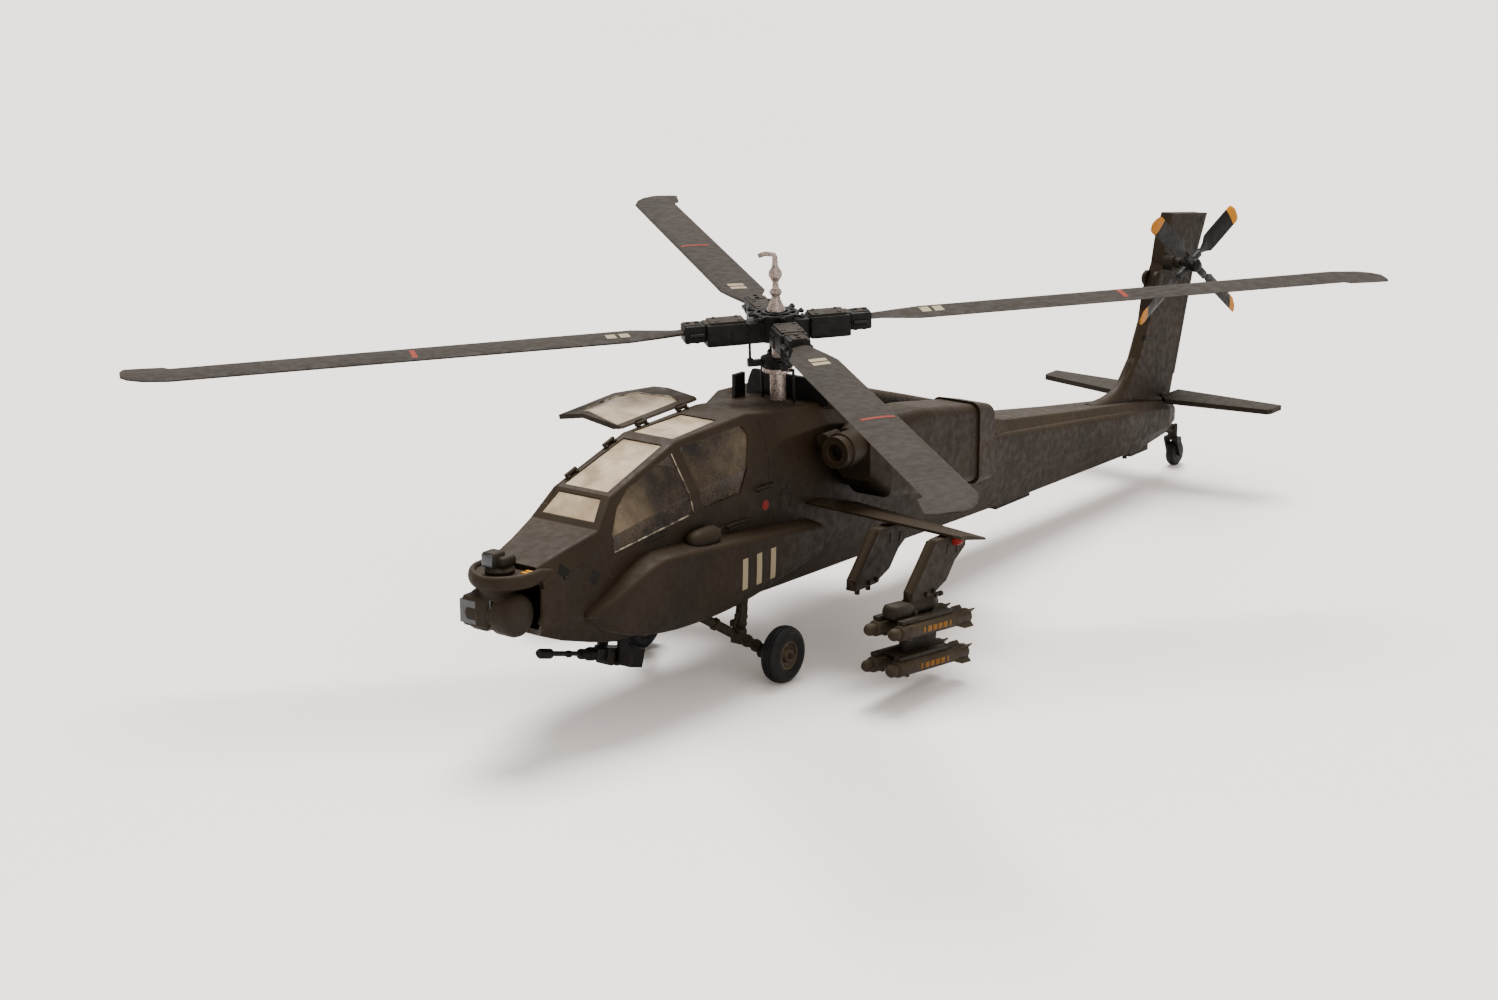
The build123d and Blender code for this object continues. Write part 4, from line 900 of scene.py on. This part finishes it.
# -------- boom
BOOM_EDGE = ((58, 36.2), (86.9, 33.9), (152.9, 25.2), (170, 23.0))
BOOM_START, BOOM_END, BOOM_STEPS = 58, 168, 29
BOOM_FALLS = (0.0, 0.35, 0.9, 2.0, 4.5, 7.0, 9.0)
BOOM_SWELL, BOOM_FADE = 0.75, 9.2
for side_name, side in SIDES:
    rings = []
    for step in range(BOOM_STEPS + 1):
        station = BOOM_START + (BOOM_END - BOOM_START) * step / BOOM_STEPS
        edge = between(BOOM_EDGE, station)
        swell = BOOM_SWELL * min(1.0, step / 1.5, (BOOM_STEPS - step) / 3 + 0.05)
        outer = []
        for fall in BOOM_FALLS:
            spot = HULLS[side].hit(at(OUTSIDE * side, station, edge - fall), (-side, 0, 0))
            if spot is None:
                outer.append(outer[-1] - Vector((side * 0.4, 0, 0.2)))
                continue
            rise = min(1.0, 0.25 + fall * 0.9) * min(1.0, max(0.0, (BOOM_FADE - fall) / 5.0))
            outer.append(spot + Vector((side * (swell * rise - 0.02), 0, 0)))
        inner = [point - Vector((side * 1.4, 0, 0)) for point in reversed(outer)]
        rings.append(outer + inner)
    Form().skin(rings).piece("boom_side_" + side_name, OLIVE_PLAIN, sharp=60)

# -------- nose
TRAY_LOW, TRAY_HIGH = limits("nose_tray")
TRAY_RADIUS = TRAY_HIGH.x - 1.1
TRAY_CENTRE_Y = TRAY_LOW.y + TRAY_HIGH.x
tray_path = []
for step in range(29):
    angle = -pi * step / 28
    tray_path.append(Vector((TRAY_RADIUS * cos(angle), TRAY_CENTRE_Y + TRAY_RADIUS * sin(angle), 0)))
LIP_TAIL = (
    (1.0, 2.5, 0.0, 1.0), (1.06, 5.5, -0.35, 0.85), (1.16, 9.0, -0.9, 0.6), (1.26, 13.0, -1.8, 0.3),
    (1.28, 15.5, -2.4, 0.1),
)
lip = [(point, 0.0, 1.0) for point in tray_path]
for wide, back, sink, share in LIP_TAIL:
    for end, x in ((0, 1), (len(lip), -1)):
        lip.insert(end, (Vector((x * wide * TRAY_RADIUS, TRAY_CENTRE_Y + back, 0)), sink, share))
rings = []
for index, (point, sink, share) in enumerate(lip):
    before, after = lip[max(index - 1, 0)][0], lip[min(index + 1, len(lip) - 1)][0]
    outward = Vector((0, 0, 1)).cross((after - before).normalized())
    droop = 0.5 * max(0.0, 1 - abs(point.x) / TRAY_RADIUS)
    rings.append([
        point + outward * (0.95 * share * x) + Vector((0, 0, 40.5 - droop + sink + 1.7 * share * y))
        for x, y in circle(1.0, 16)
    ])
tray = Form().skin(rings)
deck = [Vector((x, TRAY_HIGH.y, 0)) for x in (-TRAY_RADIUS, TRAY_RADIUS)]
deck += [Vector((point.x * 0.97, point.y, 0)) for point in tray_path]
tray.skin([[Vector((p.x, p.y, z)) for p in deck] for z in (39.6, 41.2)])
tray.piece("nose_lip", OLIVE_PLAIN, replaces=["nose_tray"], sharp=50)
Form().block(placed(at(1.6, -95.4, 41.75)), (3.6, 1.2, 1.1), 0.3).piece("nose_cream_wedge", CREAM)
yellow_blocks = Form()
for station in (-99.9, -98.5):
    yellow_blocks.block(placed(at(6.3, station, 41.7)), (1.9, 1.0, 0.9), 0.25)
yellow_blocks.piece("nose_yellow_blocks", YELLOW)

UPPER_LOW, UPPER_HIGH = limits("upper_turret")
upper_middle = (UPPER_LOW + UPPER_HIGH) / 2
upper = Form()
upper.turned(
    placed((upper_middle.x, upper_middle.y, UPPER_LOW.z)),
    ((0, 3.2), (0.7, 3.3), (0.9, 3.1), (1.1, 2.7), (1.3, 2.7)), 48,
)
upper.block(placed(upper_middle + Vector((0.0, 0.6, 0.1))), (5.0, 4.6, 2.4), 0.7)
upper.block(placed(upper_middle + Vector((-0.9, -0.9, 0.55))), (3.8, 4.0, 3.6), 0.6)
upper.piece("night_turret_body", OLIVE_DARK, "night_vision_turret", replaces=["upper_turret"], sharp=50)
Form().block(placed(upper_middle + Vector((-0.9, -3.0, 0.6))), (3.0, 0.4, 2.8), 0.12).piece(
    "night_turret_window", GLASS, "night_vision_turret", "turret_glass",
)

LOWER_LOW, LOWER_HIGH = limits("lower_turret")
DRUM_Z, DRUM_RADIUS = 32.6, 4.7
drum_middle = Vector((0, (LOWER_LOW.y + LOWER_HIGH.y) / 2, DRUM_Z))
DRUM_PROFILE = (
    (-7.15, 0.6), (-7.1, 2.2), (-6.7, 3.6), (-5.9, 4.4), (-4.9, DRUM_RADIUS), (-2.4, DRUM_RADIUS),
    (-2.35, 4.5), (-2.2, 4.5), (-2.15, 4.2), (1.5, 4.2), (1.55, DRUM_RADIUS), (3.3, DRUM_RADIUS),
    (3.35, 4.55), (3.5, 4.55), (3.55, DRUM_RADIUS), (5.2, DRUM_RADIUS), (6.2, 4.3), (6.85, 3.5),
    (7.1, 2.2), (7.15, 0.6),
)
NECK_PROFILE = ((36.0, 3.9), (37.6, 3.9), (37.9, 4.2), (38.6, 4.2), (38.8, 3.9), (LOWER_HIGH.z, 3.9))
drum = Form()
drum.turned(facing(drum_middle, 1), DRUM_PROFILE, 64)
drum.turned(placed((0, drum_middle.y, 0)), NECK_PROFILE, 48)
drum.block(placed(drum_middle + Vector((-3.0, -1.2, 0.4))), (7.4, 6.6, 7.0), 0.8)
drum.piece("sight_turret_drum", OLIVE_DARK, "sight_turret", replaces=["lower_turret"], sharp=50)

# -------- pylons, launchers and missiles
STORE_X, STORE_Y, STORE_Z = 49.7, aft(-14.3), 12.3
STORE_TILT, MISSILE_LENGTH, MISSILE_RADIUS = 6.0, 32.0, 1.85
MISSILE_SPREAD, MISSILE_RISE = 3.3, 4.2
PYLON_X = (34.0, 49.7)
slope = radians(STORE_TILT)


def store(side, back, across=0.0, up=0.0):
    """A frame on the stores: z runs aft along them, x is outboard."""
    aft_axis = Vector((0, cos(slope), -sin(slope)))
    up_axis = Vector((0, sin(slope), cos(slope)))
    centre = Vector((side * (STORE_X + across), STORE_Y, STORE_Z)) + aft_axis * back + up_axis * up
    return placed(centre, aft_axis, (side, 0, 0))


MISSILE_PROFILE = (
    (0, 0.25), (0.12, 0.7), (0.45, 1.1), (1.0, 1.38), (1.6, 1.45), (2.1, 1.38), (2.5, 1.2), (2.9, 1.2),
    (3.1, 1.65), (3.5, MISSILE_RADIUS), (8.0, MISSILE_RADIUS), (8.1, 1.75), (8.4, 1.75),
    (8.5, MISSILE_RADIUS), (24.5, MISSILE_RADIUS), (24.6, 1.75), (24.9, 1.75), (25.0, MISSILE_RADIUS),
    (31.2, MISSILE_RADIUS), (31.5, 1.4), (31.2, 1.0), (30.4, 0.9),
)
FIN_SETS = ((4.4, 6.4, 2.35), (24.9, 31.6, 3.0))
FIN_ROOT, FIN_HALF_THICKNESS = 1.6, 0.16
BAR_LENGTHS = (0.7, 1.6, 1.6, 1.6, 1.6, 0.7)
HEAD_PROFILE = (
    (0, 1.9), (0.4, 2.0), (8.0, 2.0), (8.2, 2.2), (9.4, 2.2), (9.6, 2.0), (10.8, 1.8), (11.8, 1.2),
    (12.3, 0.4),
)
FRONT = -MISSILE_LENGTH / 2
missile_bodies = Form()
missile_fins = Form()
missile_bars = Form()
launcher_parts = Form()
launcher_rails = Form()
pylon_edges = Form()
pylon_dark = Form()


def add_missile(side, across, up):
    nose = store(side, FRONT, across, up)
    missile_bodies.turned(nose, MISSILE_PROFILE, 32)
    for quarter in range(4):
        turn = radians(45 + 90 * quarter)
        spread = Vector((cos(turn), sin(turn), 0))
        thick = Vector((-sin(turn), cos(turn), 0)) * FIN_HALF_THICKNESS
        for start, end, reach in FIN_SETS:
            sweep = min(3.2, (end - start) * 0.5)
            outline = ((FIN_ROOT, start), (reach, start + sweep), (reach, end), (FIN_ROOT, end))
            corners = [spread * out + Vector((0, 0, back)) for out, back in outline]
            missile_fins.skin([[nose @ (point + shift) for point in corners] for shift in (thick, -thick)])
    if across > 0:
        for index, length in enumerate(BAR_LENGTHS):
            where = store(side, FRONT + 11.2 + index * 2.15, across, up)
            missile_bars.block(where @ Matrix.Translation((1.72, 0.0, 0)), (0.36, 1.3, length), 0.06)


for side in (1, -1):
    for across in (-MISSILE_SPREAD, MISSILE_SPREAD):
        for up in (-MISSILE_RISE, MISSILE_RISE):
            add_missile(side, across, up)
    for up in (MISSILE_RISE, -MISSILE_RISE):
        for across in (-MISSILE_SPREAD, MISSILE_SPREAD):
            launcher_rails.block(store(side, -2.0, across, up + 2.35), (1.7, 1.0, 21.0), 0.25)
            launcher_rails.block(store(side, -11.2, across, up + 2.3), (1.2, 1.1, 2.2), 0.3)
        launcher_rails.block(store(side, -3.0, 0, up + 2.2), (7.6, 0.7, 12.0), 0.2)
    launcher_parts.block(store(side, 0.6, 0, 2.2), (2.0, 9.0, 13.0), 0.4)
    launcher_parts.block(store(side, -8.6, 0, 8.3), (4.6, 3.4, 7.4), 1.1)
    launcher_parts.turned(store(side, -5.4, 0, 8.5), HEAD_PROFILE, 36)
    launcher_parts.block(store(side, -4.6, 2.2, 6.9), (0.8, 2.6, 1.3), 0.35)
    for back in (4.4, 6.2):
        launcher_parts.turned(store(side, back, 1.2, 10.3), collar(0.6, 0.3, 1.4, 0.2), 16)
    for pylon_x in PYLON_X:
        top, low = at(side * pylon_x, -8.4, 34.0), at(side * pylon_x, -17.6, 24.2)
        foot = at(side * pylon_x, -17.6, 22.7)
        pylon_edges.rod((top, low, foot), 1.36, 18)
        for face in (1, -1):
            for station, height in ((-3.6, 31.6), (0.4, 31.2)):
                slot_place = placed(at(side * pylon_x + face * 1.3, station, height))
                pylon_dark.block(slot_place, (0.3, 0.7, 2.4), 0.1)
            for station, height in ((-12.5, 23.1), (-9.5, 23.2)):
                bolt_place = at(side * pylon_x + face * 1.1, station, height)
                pylon_dark.turned(
                    facing(bolt_place, face), ((0, 0.6), (0.6, 0.6), (0.75, 0.4)), 14,
                )
missile_bodies.piece("missile_bodies", OLIVE_MISSILE, slot="missile_paint", replaces=["missiles"])
missile_fins.piece("missile_fins", OLIVE_MISSILE, slot="missile_paint")
missile_bars.piece("missile_plain_bars", MISSILE_YELLOW, slot="missile_paint")
launcher_parts.piece(
    "launcher_bodies", OLIVE_DARK, slot="missile_paint", replaces=["launchers"], sharp=50,
)
launcher_rails.piece("launcher_rails", OLIVE_DARK, slot="missile_paint")
pylon_edges.piece("pylon_leading_edges", OLIVE_PLAIN)
pylon_dark.piece("pylon_slots_and_bolts", SOOT, slot="dark_metal")

lamps = Form()
for side in (1, -1):
    lamps.turned(
        placed(at(side * 50.2, -0.8, 33.1), (side, 0.25, 0.1), (0, 1, 0)),
        ((0, 0.6), (0.3, 1.1), (1.4, 1.25), (2.4, 0.9), (2.8, 0.3)), 24,
    )
lamps.piece("wingtip_lamps", RED)

# -------- undercarriage details
legs = Form()
for side in (1, -1):
    upper_leg = (at(side * 13.35, -31.2, 23.0), at(side * 14.05, -34.0, 13.0))
    along = (upper_leg[1] - upper_leg[0]).normalized()
    for share, radius in ((0.42, 1.35), (0.62, 1.6), (0.78, 1.6), (0.95, 1.7)):
        centre = upper_leg[0].lerp(upper_leg[1], share)
        legs.turned(placed(centre, along), collar(radius, radius - 0.25, 0.9, 0.15), 28)
    for height, tilt in ((16.4, 0.6), (13.6, -0.6)):
        legs.block(placed(at(side * 14.2, -35.6, height), (0, tilt, 1)), (0.9, 0.5, 3.2), 0.15)
    strut = (at(side * 9.4, -46.2, 20.0), at(side * 17.0, -28.3, 7.5))
    run = (strut[1] - strut[0]).normalized()
    for share in (0.3, 0.74, 0.86):
        legs.turned(placed(strut[0].lerp(strut[1], share), run), collar(1.5, 1.2, 1.05, 0.15), 28)
    wheel_boss = facing(at(side * 16.2, -28.9, 7.4), side)
    legs.turned(wheel_boss, ((0, 1.1), (0.2, 1.7), (1.4, 1.7), (1.6, 1.2)), 28)
    legs.rod((at(side * 13.5, -31.8, 21.5), at(side * 14.1, -34.1, 12.6)), 1.35, 24)
    legs.block(placed(at(side * 15.5, -35.4, 12.6)), (2.2, 2.2, 3.4), 0.4)
    legs.block(placed(at(side * 12.4, -34.0, 14.6)), (1.6, 1.4, 1.6), 0.3)
legs.piece("gear_leg_collars", OLIVE_DARK, slot="strut_paint")

# -------- nose cheeks and fin root
cheeks = Form()
for side in (1, -1):
    rim = [on_hull(side, -96.2, height, -0.35) for height in (30.0, 32.0, 34.0, 36.0, 38.0)]
    cheeks.rod([point + Vector((0, -0.35, 0)) for point in rim], 0.7, 18)
cheeks.piece("nose_cheek_rims", OLIVE_PLAIN)

FAIRING_DEPTH = 0.6
fairing_rings = []
for station, rise, half in (
    (146, 0.2, 2.4), (150, 0.7, 2.5), (155, 1.6, 2.5), (159, 2.9, 2.5), (162, 4.4, 2.4), (165, 6.6, 2.2),
    (167, 9.0, 1.9), (168.5, 11.5, 1.5),
):
    crest = HULLS[1].hit(at(0.6, station, 90), (0, 0, -1))
    foot = crest.z - FAIRING_DEPTH
    fairing_rings.append([
        Vector((half * x, crest.y, foot + (rise + FAIRING_DEPTH) * y)) for x, y in circle(1.0, 24)
    ])
Form().skin(fairing_rings).piece("fin_root_fairing", OLIVE_PLAIN, sharp=60)

# -------- gun
gun_slope = radians(GUN_PITCH)
gun_aft = Vector((0, cos(gun_slope), -sin(gun_slope)))
BARREL_LOW, BARREL_HIGH = limits("gun_barrel")
muzzle = Vector((0, BARREL_LOW.y + 0.35, BARREL_HIGH.z - 0.95))
MUZZLE_PROFILE = (
    (0, 0.5), (0.1, 0.85), (0.5, 1.15), (3.9, 1.15), (4.3, 0.9), (4.5, 0.55), (10.0, 0.55), (10.1, 0.8),
    (11.0, 0.8),
)
SLEEVE_PROFILE = ((0, 0.8), (0.2, 1.2), (2.8, 1.2), (3.0, 1.5), (4.6, 1.5))
sleeves = Form()
sleeves.turned(placed(muzzle, gun_aft), MUZZLE_PROFILE, 28)
sleeves.turned(placed(muzzle + gun_aft * 14.5, gun_aft), SLEEVE_PROFILE, 28)
sleeves.piece("gun_sleeves", SOOT, "gun", "dark_metal")
feed = Form()
feed_middle = sum(limits("gun_receiver"), Vector()) / 2
for offset in (-3.4, -1.2, 1.0, 3.2):
    rib_place = placed(feed_middle + Vector((0, offset, -offset * 0.28)), gun_aft)
    feed.block(rib_place, (4.5, 3.2, 1.3), 0.3)
feed.piece("gun_receiver_ribs", OLIVE_DARK, "gun", "dark_metal")

# -------- tail end
CAP_PROFILE = ((0, 3.2), (3.4, 3.3), (4.6, 2.9), (5.4, 1.9), (5.7, 0.6))
Form().turned(placed(at(0, 184.0, 17.0), (0, 1, 0)), CAP_PROFILE).piece("boom_end_cap", OLIVE_PLAIN)
link = Form()
link.rod((at(0, 187.0, 13.5), at(0, 194.8, 11.9)), 0.75, 18)
for x in (-0.9, 0.9):
    where = facing(at(x - 0.4, 194.9, 11.9), 1)
    link.turned(where, collar(0.95, 0.6, 0.8, 0.15), 20)
link.piece("tail_gear_link", OLIVE_DARK, slot="strut_paint")
belly = Form()
for station in (97.0, 101.5, 106.0, 166.0, 171.0):
    foot = HULLS[1].hit(at(0.8, station, -5), (0, 0, 1))
    where = placed(foot + Vector((0, 0, 0.4)), (0, 0, -1))
    belly.turned(where, ((0, 0.8), (1.2, 0.8), (1.6, 0.6), (1.8, 0.3)), 20)
belly.piece("belly_knobs", OLIVE_DARK)

# -------- fin
FIN_MARK_FALL = 0.11
FIN_MARKS = (
    (174.4, 41.9, 3.2, 1.5), (179.2, 41.4, 3.2, 1.5), (184.0, 40.9, 3.2, 1.5),
    (197.2, 50.0, 0.7, 44.0, 14.2),
)
fin = Form()
fin_target = Target("vertical_fin")
for side_name, side in SIDES:
    marks = [strip(side, *mark, fall=FIN_MARK_FALL) for mark in FIN_MARKS]
    decal("fin_marks_" + side_name, OLIVE_MARK, fin_target, (-side, 0, 0), marks, DARK_MARK_LIFT)
    boss = facing(at(side * 1.2, 180.0, 57.8), side)
    fin.turned(boss, ((0, 2.2), (0.9, 2.2), (1.3, 1.7), (1.5, 0.8)), 28)
fin.piece("fin_bosses", OLIVE_PLAIN)

# -------- floor, light and camera
SHOT_CENTRE = (425.37, aft(-586.53), 238.2)
SHOT_YAW, SHOT_PITCH, SHOT_ROLL = 126.474, -15.722, -0.220
LENS_MM = 75.65

FLOOR_REACH = 8.0
floor_mesh = bpy.data.meshes.new("floor")
corners = [(x * FLOOR_REACH, y * FLOOR_REACH, 0) for x, y in ((-1, -1), (1, -1), (1, 1), (-1, 1))]
floor_mesh.from_pydata(corners, [], [(0, 1, 2, 3)])
floor = bpy.data.objects.new("floor", floor_mesh)
bpy.context.scene.collection.objects.link(floor)
floor_surface = Surface("floor_paper")
floor_tone = floor_surface.span(floor_surface.noise(400.0), 0.3, 0.7)
floor_mesh.materials.append(
    floor_surface.done(floor_surface.mix(floor_tone, tint(240, 233, 228), tint(244, 238, 233)), 0.9)
)

world = bpy.data.worlds.new("studio")
world.use_nodes = True
background = world.node_tree.nodes["Background"].inputs
background["Color"].default_value = tint(243, 236, 231)
background["Strength"].default_value = 1.25
bpy.context.scene.world = world


def add_light(name, kind, place, target, energy, **settings):
    data = bpy.data.lights.new(name, kind)
    data.energy = energy
    for key, value in settings.items():
        setattr(data, key, value)
    item = bpy.data.objects.new(name, data)
    item.location = Vector(place) * MM
    item.rotation_euler = (Vector(place) - Vector(target)).to_track_quat("Z", "Y").to_euler()
    bpy.context.scene.collection.objects.link(item)


add_light("overhead", "SUN", (-250, 330, 900), (0, 0, 0), 6.6, angle=radians(34))
add_light("fill", "AREA", (900, -500, 500), (0, 0, 40), 5.0, size=0.9)


def aim_camera():
    yaw, pitch, roll = (radians(value) for value in (SHOT_YAW, SHOT_PITCH, SHOT_ROLL))
    ahead = Vector((cos(pitch) * cos(yaw), cos(pitch) * sin(yaw), sin(pitch)))
    right = ahead.cross(Vector((0, 0, 1))).normalized()
    up = right.cross(ahead)
    x_axis = right * cos(roll) + up * sin(roll)
    y_axis = up * cos(roll) - right * sin(roll)
    matrix = Matrix((x_axis, y_axis, -ahead)).transposed().to_4x4()
    matrix.translation = Vector(SHOT_CENTRE) * MM
    data = bpy.data.cameras.new("camera")
    data.lens = LENS_MM
    data.sensor_width = 36
    data.clip_start = 0.01
    camera = bpy.data.objects.new("camera", data)
    camera.matrix_world = matrix
    bpy.context.scene.collection.objects.link(camera)
    bpy.context.scene.camera = camera


aim_camera()
